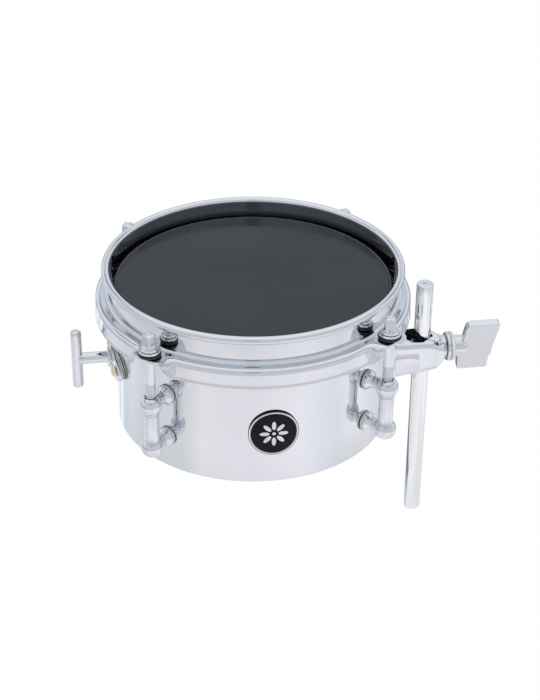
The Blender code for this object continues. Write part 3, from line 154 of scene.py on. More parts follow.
# Snare throw
SHAFT_Z = 39.6
SHAFT_RADIUS = 3.25
SHAFT_FIT = SHAFT_RADIUS + 0.1        # bore of what is clamped on the shaft
SHAFT_BORE = SHAFT_RADIUS + SEAT      # bore of what the shaft runs in
HANDLE_X = SHELL_RADIUS + 22.3
HANDLE_RADIUS = 3.0
HANDLE_LENGTH = 35.5
PLATE_HALF_LENGTH = 22.0
PLATE_HALF_HEIGHT = 7.5
PLATE_FACE = FITTING_FACE + 2.4
PAD_SHARE = 0.96          # plate's gasket, as a share of the plate
STRAINER_SPREAD = math.degrees(15.0 / SHELL_RADIUS)
STRAINER_NUT = (3.1, 1.5, 2.2)        # radius, bore, height
BEARING_NUT = (7.2, 4.65, 2.6)
BEARING_WALL = 1.1
BEARING_INSIDE = 5.0
BEARING_FLANGE = (6.0, 1.2)           # radius, thickness
COLLAR_RADIUS = 6.0
BUSH_RADIUS = 4.6
BUSH_FLANGE = (6.5, 1.6)

# Cradle and snare wires
CRADLE_HALF = 57.0
ARM_THICKNESS = 3.0
ARM_HALF_WIDTH = 9.5
ARM_FLANGE = (12.0, 1.8)              # length, thickness
ARM_HUB = (6.5, 7.0)                  # radius, width
GRUB_X = 52.0
WIRE_SCREW_X = 51.5
END_PLATE_THICKNESS = 1.0
WIRE_TOP = SHELL_HEIGHT
WIRE_RADIUS = 1.0
WIRE_STRAND = 0.2
WIRE_COIL_PITCH = 0.95
WIRE_PITCH = 2.35
WIRE_COUNT = 8
WIRE_LAP = 4.0
WIRE_LEAD = 4.0

# Clamp bracket, about the crossing of the mounting rod and the clamp bolt
CLAMP_Z = -DRUM_Z
BRACKET_FOOT_X = DRUM_X + FITTING_FACE
BRACKET_NOSE = 13.7
BRACKET_SIZE = (10.0, 8.8, 11.5)      # half width, above the bolt, below it
FOOT_SIZE = (12.0, 11.5, 14.8)
FOOT_THICKNESS = 1.0
FOOT_FLARE = 2.4
NECK_RADIUS = 6.4
BRACKET_CORNER = 3.5
BRACKET_PROFILE = (                   # share of the way from foot to nose, shares of BRACKET_SIZE
    (0.072, 1.11, 1.24, 1.39), (0.210, 1.00, 1.00, 1.27), (0.521, 1.00, 1.00, 1.00),
    (0.671, 0.95, 0.88, 0.88), (0.790, 0.81, 0.50, 0.82), (0.868, 0.50, 0.04, 0.67),
    (0.925, 0.22, 0.00, 0.49), (0.965, 0.06, 0.00, 0.20), (1.000, 0.00, 0.00, 0.00),
)
SLOT_HALF_WIDTH = 8.0
SLOT_REAR = 11.3
SLOT_BLUNT = 1.0
PANEL_HEIGHT = 0.9
PANEL_ROOT = 1.2
PANEL_DROP = 7.8
PANEL_LENGTH = 14.0
BACKING_THICKNESS = 2.0

# Mounting rod, eye bolt, washers and wing nut
MOUNT_RADIUS = 4.7625
EYE_WALL = 2.0
EYE_HALF_HEIGHT = 4.0
EYE_CENTRE = 0.5
EYE_HOLE = MOUNT_RADIUS + SEAT + EYE_CENTRE
BOLT_RADIUS = 3.0
BOLT_REACH = 24.0
CLAMP_WASHER = (8.3, 1.8)             # radius, thickness
CLAMP_CUSHION = (8.4, 2.0)
WASHER_X = BRACKET_NOSE + SEAT
CUSHION_X = WASHER_X + CLAMP_WASHER[1] + SEAT
HUB_X = CUSHION_X + CLAMP_CUSHION[1] + SEAT
HUB_RADIUS = 6.0
HUB_LENGTH = 8.6
WING_THICKNESS = 4.8
WING_EDGE = 0.7
WING_TILT = math.radians(18.0)
WING_OUTLINE = (                      # along the bolt, across it, corner radius
    (4.3, -18.4, 1.6), (22.0, -18.4, 1.4), (21.8, -8.6, 0.8), (23.0, -7.8, 1.4), (22.9, -1.0, 6.0),
    (24.8, 15.0, 3.0), (24.8, 18.2, 1.4), (6.0, 18.2, 2.6), (5.1, 10.6, 5.0), (4.5, 0.0, 5.0),
    (3.2, -7.8, 1.8),
)

# Badge
BADGE_Z = 31.9
BADGE_RADIUS = 13.5
BADGE_SHADE_THICKNESS = 0.9           # thickness of the thin black ring round the pan, painted shade standing in for the gap under its rim
PETALS = 8

# Studio: floor and walls as the metal shows them, with stops of (share, colour or grey)
WHITE = (1.0, 1.0, 1.0)
FLOOR_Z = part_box("mounting_rod")[0].z - 36.0 * MM
FLOOR_REACH = 4.0
FLOOR_PAPER = (0.86, 0.86, 0.87)
FLOOR_WHITE = 0.985
STUDIO_STRENGTH = 1.14
PAPER_STRENGTH = 1.25
PAPER_REACH = (           # by metres from the drum's axis
    (0.00, 0.91), (0.22, 0.91), (0.27, 0.97), (0.37, 0.97), (0.50, 0.70),
)
PAPER_PLAIN = (0.76, 0.74, 0.78)      # plain paper under the clamp
PLAIN_PLACE = (0.08, -0.05)
PLAIN_NEAR = 0.03                     # how far out the bands start and are full
PLAIN_FAR = 0.10
PAPER_BANDS = (
    (0.000, (0.66, 0.69, 0.73)), (0.078, (0.65, 0.70, 0.71)), (0.108, (0.76, 0.76, 0.79)),
    (0.122, (0.82, 0.81, 0.85)), (0.227, (0.80, 0.79, 0.84)), (0.330, (0.87, 0.86, 0.91)),
    (0.405, (0.74, 0.78, 0.83)), (0.470, (0.84, 0.86, 0.90)), (0.600, (0.56, 0.61, 0.67)),
    (0.690, (0.20, 0.24, 0.29)), (0.760, (0.14, 0.17, 0.21)), (0.800, (0.48, 0.54, 0.60)),
    (0.828, (0.96, 0.97, 1.00)), (0.843, (0.56, 0.63, 0.72)), (0.860, (0.96, 0.97, 1.00)),
    (0.885, (0.62, 0.69, 0.76)), (0.930, (0.72, 0.75, 0.78)), (0.965, (0.66, 0.68, 0.72)),
)
STUDIO_HEIGHTS = (
    (0.000, (0.85, 0.86, 0.88)), (0.490, (0.78, 0.80, 0.83)), (0.502, (0.52, 0.55, 0.60)),
    (0.530, (0.76, 0.78, 0.81)), (0.660, (0.82, 0.83, 0.86)), (0.736, (0.58, 0.64, 0.71)),
    (0.757, (0.76, 0.79, 0.84)), (0.790, (0.65, 0.68, 0.73)), (0.820, (0.72, 0.75, 0.80)),
    (0.865, (0.84, 0.85, 0.88)), (1.000, (0.90, 0.91, 0.94)),
)
STUDIO_DEPTHS = (
    (0.000, (0.76, 0.80, 0.85)), (0.250, (0.80, 0.83, 0.87)), (0.500, (0.94, 0.95, 0.96)),
    (0.800, (0.98, 0.98, 0.99)), (1.000, (0.96, 0.97, 0.99)),
)
STUDIO_TURNS = (
    (0.000, (0.86, 0.88, 0.92)), (0.120, (0.94, 0.95, 0.97)), (0.209, (0.94, 0.95, 0.97)),
    (0.213, (0.40, 0.41, 0.43)), (0.240, (0.40, 0.41, 0.43)), (0.244, (0.94, 0.95, 0.97)),
    (0.440, (0.84, 0.87, 0.91)), (0.520, (0.55, 0.60, 0.67)), (0.545, WHITE), (0.590, WHITE),
    (0.610, (0.38, 0.43, 0.50)), (0.655, (0.55, 0.60, 0.67)), (0.690, (0.98, 0.98, 1.00)),
    (0.755, (0.98, 0.98, 1.00)), (0.785, (0.45, 0.50, 0.57)), (0.815, (0.30, 0.35, 0.42)), (0.835, WHITE),
    (0.880, WHITE), (0.900, (0.42, 0.47, 0.54)), (0.950, (0.60, 0.65, 0.72)),
)
TURNS_REACH = ((0.000, 0.0), (0.690, 0.0), (0.730, 1.0), (0.790, 1.0), (0.840, 0.0))

GUARD = 0.08              # share of a flat stretch between an arc's end and its guard point
MERGE = 0.002             # points nearer than this are one


def span(node):
    """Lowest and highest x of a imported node, from the drum's axis."""
    return [corner[0] - DRUM_X for corner in limits(node)]


def full_turn(steps):
    """Angles evenly round one turn."""
    return np.linspace(0.0, FULL_TURN, steps, endpoint=False)


def around(radius, turn, height):
    """Points round Z: (radius cos turn, radius sin turn, height)."""
    return np.stack(np.broadcast_arrays(radius * np.cos(turn), radius * np.sin(turn), height), axis=-1)


def arc(centre, radius, start, end, steps):
    """Points on a circle's arc from start to end, in degrees: centre + radius (cos, sin)."""
    angles = np.radians(np.linspace(start, end, steps + 1))
    return np.column_stack([centre[0] + radius * np.cos(angles), centre[1] + radius * np.sin(angles)])


def rounded(corners, steps=5):
    """Outline with a tangent arc at each corner (x, y, radius); a corner without a radius stays sharp.

    A guard point a little before and after each arc keeps the flat stretches flat when shaded smooth.
    """
    points = np.array([corner[:2] for corner in corners], float)
    parts = []
    for i, corner in enumerate(corners):
        radius = corner[2] if len(corner) > 2 else 0.0
        here = points[i]
        if radius == 0.0:
            parts.append(here[None])
            continue
        back = points[i - 1] - here
        ahead = points[(i + 1) % len(corners)] - here
        half_back = 0.5 * np.linalg.norm(back)
        half_ahead = 0.5 * np.linalg.norm(ahead)
        back *= 0.5 / half_back
        ahead *= 0.5 / half_ahead
        half = 0.5 * math.acos(float(np.clip(back @ ahead, -1.0, 1.0)))
        cut = min(radius / math.tan(half), half_back, half_ahead)
        radius = cut * math.tan(half)
        middle = back + ahead
        centre = here + middle / np.linalg.norm(middle) * radius / math.sin(half)
        first = here + back * cut - centre
        last = here + ahead * cut - centre
        start = math.degrees(math.atan2(first[1], first[0]))
        sweep = (math.degrees(math.atan2(last[1], last[0])) - start + 180.0) % 360.0 - 180.0
        parts.append((here + back * (cut + GUARD * (half_back - cut)))[None])
        parts.append(arc(centre, radius, start, start + sweep, steps))
        parts.append((here + ahead * (cut + GUARD * (half_ahead - cut)))[None])
    return np.vstack(parts)


def oblong(left, right, low, high, *radii, steps=5):
    """Rounded rectangle; its radii, one or four, run from the low left corner by the low right one."""
    radii = radii * 4 if len(radii) == 1 else radii
    corners = ((left, low), (right, low), (right, high), (left, high))
    return rounded([(*corner, radius) for corner, radius in zip(corners, radii)], steps)


def turned(profile, steps):
    """Profile of (radius, height) spun round Z: (r cos t, r sin t, h) for t round the full turn."""
    profile = np.asarray(profile, float)
    return around(profile[:, :1], full_turn(steps), profile[:, 1:])


def skin(points, loop=False):
    """Closed surface through a grid of points (rows, columns, 3), as vertices and quads.

    Columns wrap round. Rows wrap too if loop is set; otherwise each end row closes on its own middle.
    """
    points = np.asarray(points, float)
    if loop:
        points = np.concatenate([points, points[:1]])
    else:
        first = np.broadcast_to(points[0].mean(axis=0), points[:1].shape)
        last = np.broadcast_to(points[-1].mean(axis=0), points[:1].shape)
        points = np.concatenate([first, points, last])
    rows, columns = points.shape[:2]
    index = np.arange(rows * columns).reshape(rows, columns)
    beside = np.roll(index, -1, axis=1)
    quads = np.stack([index[:-1], beside[:-1], beside[1:], index[1:]], axis=-1)
    return points.reshape(-1, 3), quads.reshape(-1, 4)


def placed(skins, *moves):
    """The same skins with each move, a function of points, applied in turn."""
    for move in moves:
        skins = [(move(points), quads) for points, quads in skins]
    return skins


def lathe(profile, steps, *moves):
    """Turned profile closed at both ends, then moved."""
    return placed([skin(turned(profile, steps))], *moves)


def ring(section, steps, *moves):
    """Closed section turned into a ring, then moved."""
    return placed([skin(turned(section, steps), loop=True)], *moves)


def shift(x=0.0, y=0.0, z=0.0):
    """Move by a step."""
    return lambda points: points + np.array([x, y, z])


def spin(degrees):
    """Turn round Z."""
    c, s = math.cos(math.radians(degrees)), math.sin(math.radians(degrees))
    return lambda points: np.stack([
        c * points[..., 0] - s * points[..., 1], s * points[..., 0] + c * points[..., 1], points[..., 2],
    ], axis=-1)


def to_x(points):
    """Turns points made along +Z to lie along +X."""
    return np.stack([points[..., 2], points[..., 1], -points[..., 0]], axis=-1)


def on_drum(points):
    """From the drum's own frame, axis at zero and bottom edge at zero height, to the row's frame."""
    return shift(DRUM_X, 0.0, DRUM_Z)(points)


def on_shaft(points):
    """From the shaft's own frame, its axis along X, to the row's frame."""
    return on_drum(shift(z=SHAFT_Z)(points))


def on_left(points):
    """From a shape made at +X, heights from the shaft, to the throw's side of the drum."""
    return on_shaft(spin(180.0)(points))


def at_corner(corner):
    """Move from a tension rod's own axis, the shell towards -X, to its corner of the drum."""
    return lambda points: on_drum(spin(CORNERS[corner])(shift(ROD_CIRCLE)(points)))


def bent(points):
    """Points (depth, along, height) wrapped round Z: depth is the radius there, along an arc on the shell."""
    depth, along, height = np.moveaxis(points, -1, 0)
    return around(depth, along / SHELL_RADIUS, height)


def mesh_of(name, skins):
    """One mesh in metres from several closed skins, doubles merged and every face pointing out."""
    starts = np.cumsum([0] + [len(points) for points, quads in skins])
    vertices = np.vstack([points for points, quads in skins]) * MM
    faces = np.vstack([quads + start for (points, quads), start in zip(skins, starts)])
    mesh = bpy.data.meshes.new(name)
    mesh.from_pydata(vertices.tolist(), [], faces.tolist())
    bm = bmesh.new()
    bm.from_mesh(mesh)
    bmesh.ops.remove_doubles(bm, verts=bm.verts, dist=MERGE * MM)
    bmesh.ops.recalc_face_normals(bm, faces=bm.faces)
    bm.to_mesh(mesh)
    bm.free()
    return mesh


def linked(name, data):
    """New object in the scene."""
    obj = bpy.data.objects.new(name, data)
    bpy.context.scene.collection.objects.link(obj)
    return obj


def add_piece(name, shape, finish, body, *nodes, sharp=35.0):
    """Link a piece, give it its finish and its body; shape is a mesh or a list of skins."""
    mesh = shape if isinstance(shape, bpy.types.Mesh) else mesh_of(name, shape)
    mesh.shade_smooth()
    mesh.set_sharp_from_angle(angle=math.radians(sharp))
    mesh.materials.clear()
    mesh.materials.append(FINISH[finish])
    piece = linked(name, mesh)
    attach(piece, body)
    if nodes:
        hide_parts(*nodes)
    return piece


def modified(meshes, kind, **settings):
    """New mesh from the first one under a modifier, the second one its tool. The meshes given are used up."""
    objects = [linked("work", mesh) for mesh in meshes]
    modifier = objects[0].modifiers.new("work", kind)
    if len(objects) > 1:
        modifier.object = objects[1]
    for name, value in settings.items():
        setattr(modifier, name, value)
    result = bpy.data.meshes.new_from_object(objects[0].evaluated_get(bpy.context.evaluated_depsgraph_get()))
    for obj, mesh in zip(objects, meshes):
        bpy.data.objects.remove(obj)
        bpy.data.meshes.remove(mesh)
    return result


def joined(base, tool, operation="DIFFERENCE"):
    """Boolean of two meshes."""
    return modified([base, tool], "BOOLEAN", operation=operation, solver="EXACT")


def softened_edges(mesh, width, angle=38.0, segments=2):
    """The mesh with every edge sharper than angle rolled over to the given width."""
    return modified(
        [mesh], "BEVEL", width=width * MM, segments=segments, limit_method="ANGLE",
        angle_limit=math.radians(angle), miter_outer="MITER_ARC",
    )


def slab(outline, low, high):
    """Closed block: a flat outline of (x, y) points raised from low to high along Z."""
    flat = np.column_stack([outline, np.zeros(len(outline))])
    return [skin(np.stack([shift(z=low)(flat), shift(z=high)(flat)]))]


def softened(outline, low, high, edge, steps=3):
    """Flat outline raised along Z with its rims rounded: rows step in by edge (1 - sin) as they rise."""
    centre = outline.mean(axis=0)
    size = np.linalg.norm(outline - centre, axis=1).max()
    angles = np.radians(np.linspace(90.0, 0.0, steps + 1))
    shares = 1.0 - edge / size * np.append(4.0, 1.0 - np.cos(angles))
    lifts = edge * np.append(0.0, 1.0 - np.sin(angles))
    heights = np.concatenate([low + lifts, high - lifts[::-1]])
    flat = centre + (outline - centre) * np.concatenate([shares, shares[::-1]])[:, None, None]
    return np.dstack([flat, np.broadcast_to(heights[:, None], flat.shape[:2])])


def threaded(radius, pitch, depth, low, high, steps=24, per_turn=8):
    """Screw thread on a rod along Z: radius less depth times a triangle wave of height / pitch - turn.

    The wave fades out over one pitch at each end.
    """
    rows = max(2, int(round((high - low) / pitch * per_turn))) + 1
    height = np.linspace(low, high, rows)[:, None]
    turn = np.linspace(0.0, 1.0, steps, endpoint=False)[None, :]
    wave = np.abs(2.0 * ((height / pitch - turn) % 1.0) - 1.0)
    fade = np.clip(np.minimum(height - low, high - height) / pitch, 0.0, 1.0)
    return around(radius - depth * wave * fade, FULL_TURN * turn, height)


def cross_head(radius, height, seat, recess=0.62, steps=64):
    """Domed screw head along Z with a cross recess: its top sinks where the smaller of |x|, |y| is small."""
    r = radius * np.sin(0.5 * math.pi * np.linspace(0.0, 1.0, 22))[:, None]
    turn = full_turn(steps)
    x = r * np.cos(turn)
    y = r * np.sin(turn)
    dome = height * np.sqrt(np.clip(1.0 - (r / (1.02 * radius)) ** 2.6, 0.0, 1.0))
    arm = np.minimum(np.abs(x), np.abs(y)) / (0.16 * radius)
    reach = np.maximum(np.abs(x), np.abs(y)) / (recess * radius)
    sink = np.clip(1.6 - arm, 0.0, 1.0) * np.clip(4.0 * (1.0 - reach), 0.0, 1.0)
    top = around(r, turn, seat + dome - 0.55 * height * sink)
    return np.concatenate([top, around(radius, turn, seat)[None]])


def screw(head_radius, head_height, shank, length, washer=None):
    """Cross-headed screw along Z, its seat at zero, with a threaded shank and a washer if one is given."""
    seat = washer[1] if washer else 0.0
    thread = threaded(shank, SCREW_PITCH, SCREW_DEPTH, -length, seat + 0.1, 20, 6)
    skins = [skin(cross_head(head_radius, head_height, seat)), skin(thread)]
    return skins + ring(oblong(shank, washer[0], 0.0, seat, 0.0, 0.2, 0.3, 0.0), 48) if washer else skins


def feed(socket, value):
    """Sets a node's input to another node's output, a number, a vector, or a colour of three numbers."""
    if isinstance(value, bpy.types.NodeSocket):
        socket.id_data.links.new(value, socket)
    else:
        socket.default_value = (*value, 1.0) if socket.type == "RGBA" else value


def added(tree, kind, feeds=(), **fields):
    """Outputs of a new shader node of a kind, with its fields set and its inputs fed."""
    node = tree.nodes.new("ShaderNode" + kind)
    for name, value in fields.items():
        setattr(node, name, value)
    for place, value in dict(feeds).items():
        feed(node.inputs[place], value)
    return node.outputs


def reckoned(tree, operation, *values):
    """Result of a math node on outputs or numbers."""
    return added(tree, "Math", enumerate(values), operation=operation)[0]


def tones(tree, source, stops):
    """Colours over source, from stops given as (place from 0 to 1, colour or grey)."""
    node = tree.nodes.new("ShaderNodeValToRGB")
    feed(node.inputs["Fac"], source)
    for place, colour in stops[2:]:
        node.color_ramp.elements.new(place)
    for element, (place, colour) in zip(node.color_ramp.elements, stops):
        element.position = place
        element.color = (*colour, 1.0) if isinstance(colour, tuple) else (colour, colour, colour, 1.0)
    return node.outputs["Color"]


def compass(tree, vector):
    """Parts of a vector, and its direction from above as a share of a full turn from -X round by -Y."""
    parts = added(tree, "SeparateXYZ", {"Vector": vector})
    angle = reckoned(tree, "ARCTAN2", parts["Y"], parts["X"])
    return parts, reckoned(tree, "ADD", reckoned(tree, "DIVIDE", angle, FULL_TURN), 0.5)


def surface(name, low, high, rough, metallic=0.0, patch=60.0, grain=900.0, relief=0.02, **more):
    """Finish whose colour drifts between two tones in patches, with fine grain in roughness and relief."""
    material = bpy.data.materials.new(name)
    material.use_nodes = True
    tree = material.node_tree
    place = added(tree, "TexCoord")["Object"]
    drift, fine = (
        added(tree, "TexNoise", {"Vector": place, "Scale": scale, "Detail": detail})["Fac"]
        for scale, detail in ((patch, 4.0), (grain, 5.0))
    )
    bump = added(tree, "Bump", {"Strength": relief, "Distance": 0.2 * MM, "Height": fine})
    feeds = {
        "Base Color": tones(tree, drift, ((0.35, low), (0.65, high))), "Metallic": metallic,
        "Roughness": tones(tree, fine, ((0.35, rough[0]), (0.65, rough[1]))), "Normal": bump["Normal"],
    }
    for key, value in {**feeds, **more}.items():
        feed(tree.nodes["Principled BSDF"].inputs[key], value)
    return material


FINISH = {
    "film": surface(
        "black_film", (0.006, 0.007, 0.008), (0.0175, 0.0185, 0.019), (0.12, 0.20), 0.0, 14.0, 60.0, 0.004,
        IOR=1.36,
    ),
    "enamel": surface(
        "black_enamel", (0.004, 0.004, 0.005), (0.008, 0.008, 0.009), (0.06, 0.12), relief=0.01, IOR=1.22
    ),
    "chrome": surface(
        "chrome_plate", (0.735, 0.74, 0.76), (0.765, 0.77, 0.79), (0.025, 0.05), 1.0, 25.0, 90.0, 0.002
    ),
    "rod": surface(
        "rod_plate", (0.87, 0.865, 0.855), (0.89, 0.885, 0.875), (0.025, 0.05), 1.0, 25.0, 90.0, 0.002
    ),
    # Painted shade: near-black dull metal for the walls of the bracket's rod slot, standing in for the shade
    # down inside the slot.
    "slot_shade": surface("painted_shade_slot_walls", (0.05, 0.052, 0.056), (0.09, 0.092, 0.098), (0.30, 0.45), 0.7, 120.0),
    "steel": surface("zinc_plate", (0.50, 0.51, 0.53), (0.62, 0.62, 0.63), (0.22, 0.36), 1.0, 120.0),
    "wire": surface("snare_wire", (0.58, 0.59, 0.60), (0.68, 0.68, 0.70), (0.14, 0.24), 1.0, 200.0),
    "aluminium": surface("drawn_aluminium", (0.66, 0.66, 0.68), (0.74, 0.74, 0.76), (0.22, 0.34), 1.0),
    "brass": surface("pale_brass", (0.80, 0.70, 0.50), (0.88, 0.80, 0.62), (0.10, 0.22), 1.0, 300.0),
    "nylon": surface("black_nylon", (0.006, 0.006, 0.007), (0.012, 0.012, 0.013), (0.28, 0.42), relief=0.012),
    "ivory": surface("ivory_nylon", (0.70, 0.66, 0.56), (0.78, 0.75, 0.66), (0.35, 0.50), relief=0.01),
    "gasket": surface("cream_gasket", (0.56, 0.54, 0.48), (0.70, 0.68, 0.62), (0.6, 0.8), relief=0.12),
    "motif": surface("silver_motif", (0.62, 0.63, 0.65), (0.74, 0.75, 0.77), (0.16, 0.26), 1.0, 400.0),
}


def make_shell():
    """Shell: outer wall, rolled bearing edge, inner flange and a lip turned in at the bottom."""
    slope = math.sqrt(0.5)
    thick = 0.8 * SHELL_WALL
    lip = SHELL_RADIUS - LIP_WIDTH
    edge = arc((EDGE_CROWN, EDGE_TOP), EDGE_ROUND, 0.0, 135.0, 16)
    tip = edge[-1] - EDGE_FLANGE * slope
    under = tip + np.array([thick, -thick]) * slope
    foot = [(lip, SHELL_WALL), (lip, 0.0, 0.4), (SHELL_RADIUS, 0.0, LIP_ROUND), (SHELL_RADIUS, 20.0)]
    profile = np.vstack([
        rounded(foot, 8),
        edge,
        [tip, under],
        rounded([
            (SHELL_BORE - 0.5, EDGE_TOP + 0.2), (SHELL_BORE, EDGE_TOP - 1.5, 1.5),
            (SHELL_BORE, SHELL_WALL, 0.8), (lip + 0.1, SHELL_WALL),
        ]),
    ])
    add_piece("shell_wall", ring(profile, 192, on_drum), "chrome", "drum", "shell")


def make_head():
    """Black film: flat over the shell, round over its edge and flaring down into the flesh hoop."""
    collar_end = FLESH_LOW + 1.0
    inner = EDGE_ROUND + SEAT
    outer = inner + FILM
    centre = (EDGE_CROWN, EDGE_TOP)
    flat = np.array([(0.0, EDGE_TOP), (0.5 * EDGE_CROWN, EDGE_TOP), (EDGE_CROWN - 0.5, EDGE_TOP)])
    profile = np.vstack([
        flat + [0.0, inner],
        arc(centre, inner, 90.0, 0.0, 12),
        [(COLLAR_OUTER - FILM, collar_end), (COLLAR_OUTER, collar_end)],
        arc(centre, outer, 0.0, 90.0, 12),
        (flat + [0.0, outer])[::-1],
    ])
    add_piece("head_film", lathe(profile, 192, on_drum), "film", "hoop", "drumhead")
    start = COLLAR_OUTER + SEAT
    section = oblong(start, start + FLESH_WIDTH, FLESH_LOW, FLESH_LOW + FLESH_HEIGHT, 0.5, 0.8, 1.6, 0.5)
    add_piece("flesh_ring", ring(section, 144, on_drum), "aluminium", "hoop", "flesh_hoop")


def ease(share):
    """Smooth step from 0 to 1."""
    share = np.clip(share, 0.0, 1.0)
    return share * share * (3.0 - 2.0 * share)


def hoop_points():
    """Hoop's sheet as rows round the drum, each a closed section of (radius, height) points.

    From the bead the sheet runs down the wall, out along the ledge and down the skirt. Its bend into the
    skirt is an arc of fixed length turning through fold; fold eases to zero at a tension rod, where ledge
    and skirt are one flat ear.
    """
    half = 0.5 * SHEET
    side = math.atan2(0.5 * EAR_WIDTH, EAR_EDGE)
    gusset = GUSSET_WIDTH / EAR_EDGE
    near = np.concatenate([np.linspace(0.0, side, 12), side + np.linspace(0.0, gusset, 20)[1:]])
    plain_stretch = np.linspace(near[-1], 0.5 * math.pi - near[-1], 40)[1:-1]
    offsets = np.concatenate([near, plain_stretch, 0.5 * math.pi - near[::-1]])[:-1]
    starts = np.radians(sorted(CORNERS.values()))
    angles = (starts[:, None] + offsets[None, :]).ravel()
    away = np.tile(np.minimum(offsets, 0.5 * math.pi - offsets), len(starts))

    plain = ease((away - side) * EAR_EDGE / GUSSET_WIDTH)[:, None]
    fold = np.maximum(0.5 * math.pi * plain, 1e-5)
    zone = 0.5 * math.pi * SKIRT_BEND
    ledge_end = SKIRT_RADIUS - half - SKIRT_BEND
    skirt = zone + SKIRT_DROP - (HOOP_TOP - LEDGE_TOP) - half - SKIRT_BEND
    within = np.minimum(away, side)[:, None]
    edge = EAR_EDGE / np.cos(within) - EAR_ROUND * (within / side) ** 6
    length = (edge - ledge_end) * (1.0 - plain) + skirt * plain - SHEET_NOSE
    share = np.linspace(0.0, 1.0, 9)[None, :]
    bend_r = ledge_end + zone * np.sin(fold * share) / fold
    bend_h = LEDGE_TOP - half - zone * (1.0 - np.cos(fold * share)) / fold
    along = (length - zone) * np.array([[0.06, 0.5, 0.78, 0.84, 0.88, 0.92, 0.96, 1.0]])
    flare = SKIRT_FLARE * plain * np.array([[0.0, 0.0, 0.0, 0.06, 0.3, 0.7, 0.94, 1.0]])
    spine_r = np.hstack([bend_r, bend_r[:, -1:] + along * np.cos(fold) + flare * np.sin(fold)])
    spine_h = np.hstack([bend_h, bend_h[:, -1:] - along * np.sin(fold) + flare * np.cos(fold)])
    turn = np.hstack([fold * share, fold * np.ones((1, 8))])
    nose = np.radians(np.linspace(75.0, -75.0, 7))[None, :]
    nose_r = spine_r[:, -1:] + SHEET_NOSE * np.cos(nose) * np.cos(fold) + half * np.sin(nose) * np.sin(fold)
    nose_h = spine_h[:, -1:] - SHEET_NOSE * np.cos(nose) * np.sin(fold) + half * np.sin(nose) * np.cos(fold)

    outer = HOOP_INNER + SHEET
    bead = arc((HOOP_INNER + BEAD, HOOP_TOP - BEAD), BEAD, 180.0, -95.0, 24)
    top_bend = arc((outer + WALL_BEND, LEDGE_TOP + WALL_BEND), WALL_BEND, 180.0, 270.0, 6)
    low_bend = arc((HOOP_INNER + WALL_BEND, LEDGE_TOP - SHEET + WALL_BEND), WALL_BEND, 270.0, 180.0, 6)
    guard_top = [(outer, HOOP_TOP - 2.0 * BEAD), (outer, LEDGE_TOP + WALL_BEND + 0.4)]
    guard_low = [(HOOP_INNER, LEDGE_TOP + 1.0), (HOOP_INNER, HOOP_TOP - BEAD - 0.5)]
    wall = np.vstack([bead, guard_top, top_bend, [(ledge_end - 0.5, LEDGE_TOP)]])
    back = np.vstack([[(ledge_end - 0.5, LEDGE_TOP - SHEET)], low_bend, guard_low])

    def section(i, spine, offset, nose):
        before, after = (np.tile(part[:, i], (len(angles), 1)) for part in (wall, back))
        return np.hstack([before, spine + offset, nose, (spine - offset)[:, ::-1], after])

    radius = section(0, spine_r, half * np.sin(turn), nose_r)
    height = section(1, spine_h, half * np.cos(turn), nose_h)
    return around(radius, angles[:, None], height)


def make_hoop():
    """Hoop as one closed sheet round the drum."""
    shape = placed([skin(hoop_points(), loop=True)], on_drum)
    add_piece("rolled_hoop", shape, "chrome", "hoop", "hoop", sharp=50.0)


def make_lugs():
    """Tube lugs: balls and tube turned about the rod, posts turned about their screws, on thin gaskets."""
    low, high = LUG_HEIGHTS["lower"], LUG_HEIGHTS["upper"]
    bore = ROD_RADIUS + SEAT
    waist = math.degrees(math.asin(TUBE_RADIUS / BALL_RADIUS))
    drop = BALL_RADIUS * math.cos(math.radians(waist))
    seam = high - drop
    mouth = math.degrees(math.acos((bore + 0.5) / BALL_RADIUS))
    mouth_z = high + BALL_RADIUS * math.sin(math.radians(mouth))
    body = np.vstack([
        arc((0.0, low), BALL_RADIUS, -90.0, 88.0 - waist, 18),
        [(TUBE_RADIUS, low + drop + 0.5), (TUBE_RADIUS, seam - 1.6)],
        arc((TUBE_RADIUS, seam - 1.1), 0.35, -80.0, 80.0, 6),
        [(TUBE_RADIUS, seam - 0.5)],
        arc((0.0, high), BALL_RADIUS, waist - 90.0, mouth, 18),
        [(bore, mouth_z - 0.3), (bore, mouth_z - LUG_BORE_DEPTH), (0.0, mouth_z - LUG_BORE_DEPTH)],
    ])
    reach = ROD_CIRCLE - FITTING_FACE + SEAT
    post = rounded([
        (0.0, POST_ROOT), (POST_NECK, POST_ROOT), (POST_NECK, 5.0), (POST_NECK, reach - 5.2),
        (POST_NECK, reach - 3.2, 3.0), (POST_FOOT, reach - 1.5, 0.6), (POST_FOOT, reach, 0.25), (0.0, reach),
    ])
    gasket = oblong(0.0, GASKET_RADIUS, reach, reach + GASKET_THICKNESS, 0.0, 0.2, 0.2, 0.0)
    for corner in CORNERS:
        move = at_corner(corner)
        posts, pads = (
            sum((lathe(shape, 48, to_x, spin(180.0), shift(z=z), move) for z in LUG_HEIGHTS.values()), [])
            for shape in (post, gasket)
        )
        add_piece("tube_lug_" + corner, lathe(body, 64, move) + posts, "chrome", "drum", "lug_" + corner)
        add_piece("lug_gaskets_" + corner, pads, "gasket", "drum")


def squared(rows, steps=72):
    """Key head along Z: rows of (height, half width, power) with |x|^p + |y|^p = half^p, round at power 2."""
    turn = full_turn(steps)
    height, half, power = (np.array(column)[:, None] for column in zip(*rows))
    reach = half * (np.abs(np.cos(turn)) ** power + np.abs(np.sin(turn)) ** power) ** (-1.0 / power)
    return around(reach, turn, height)


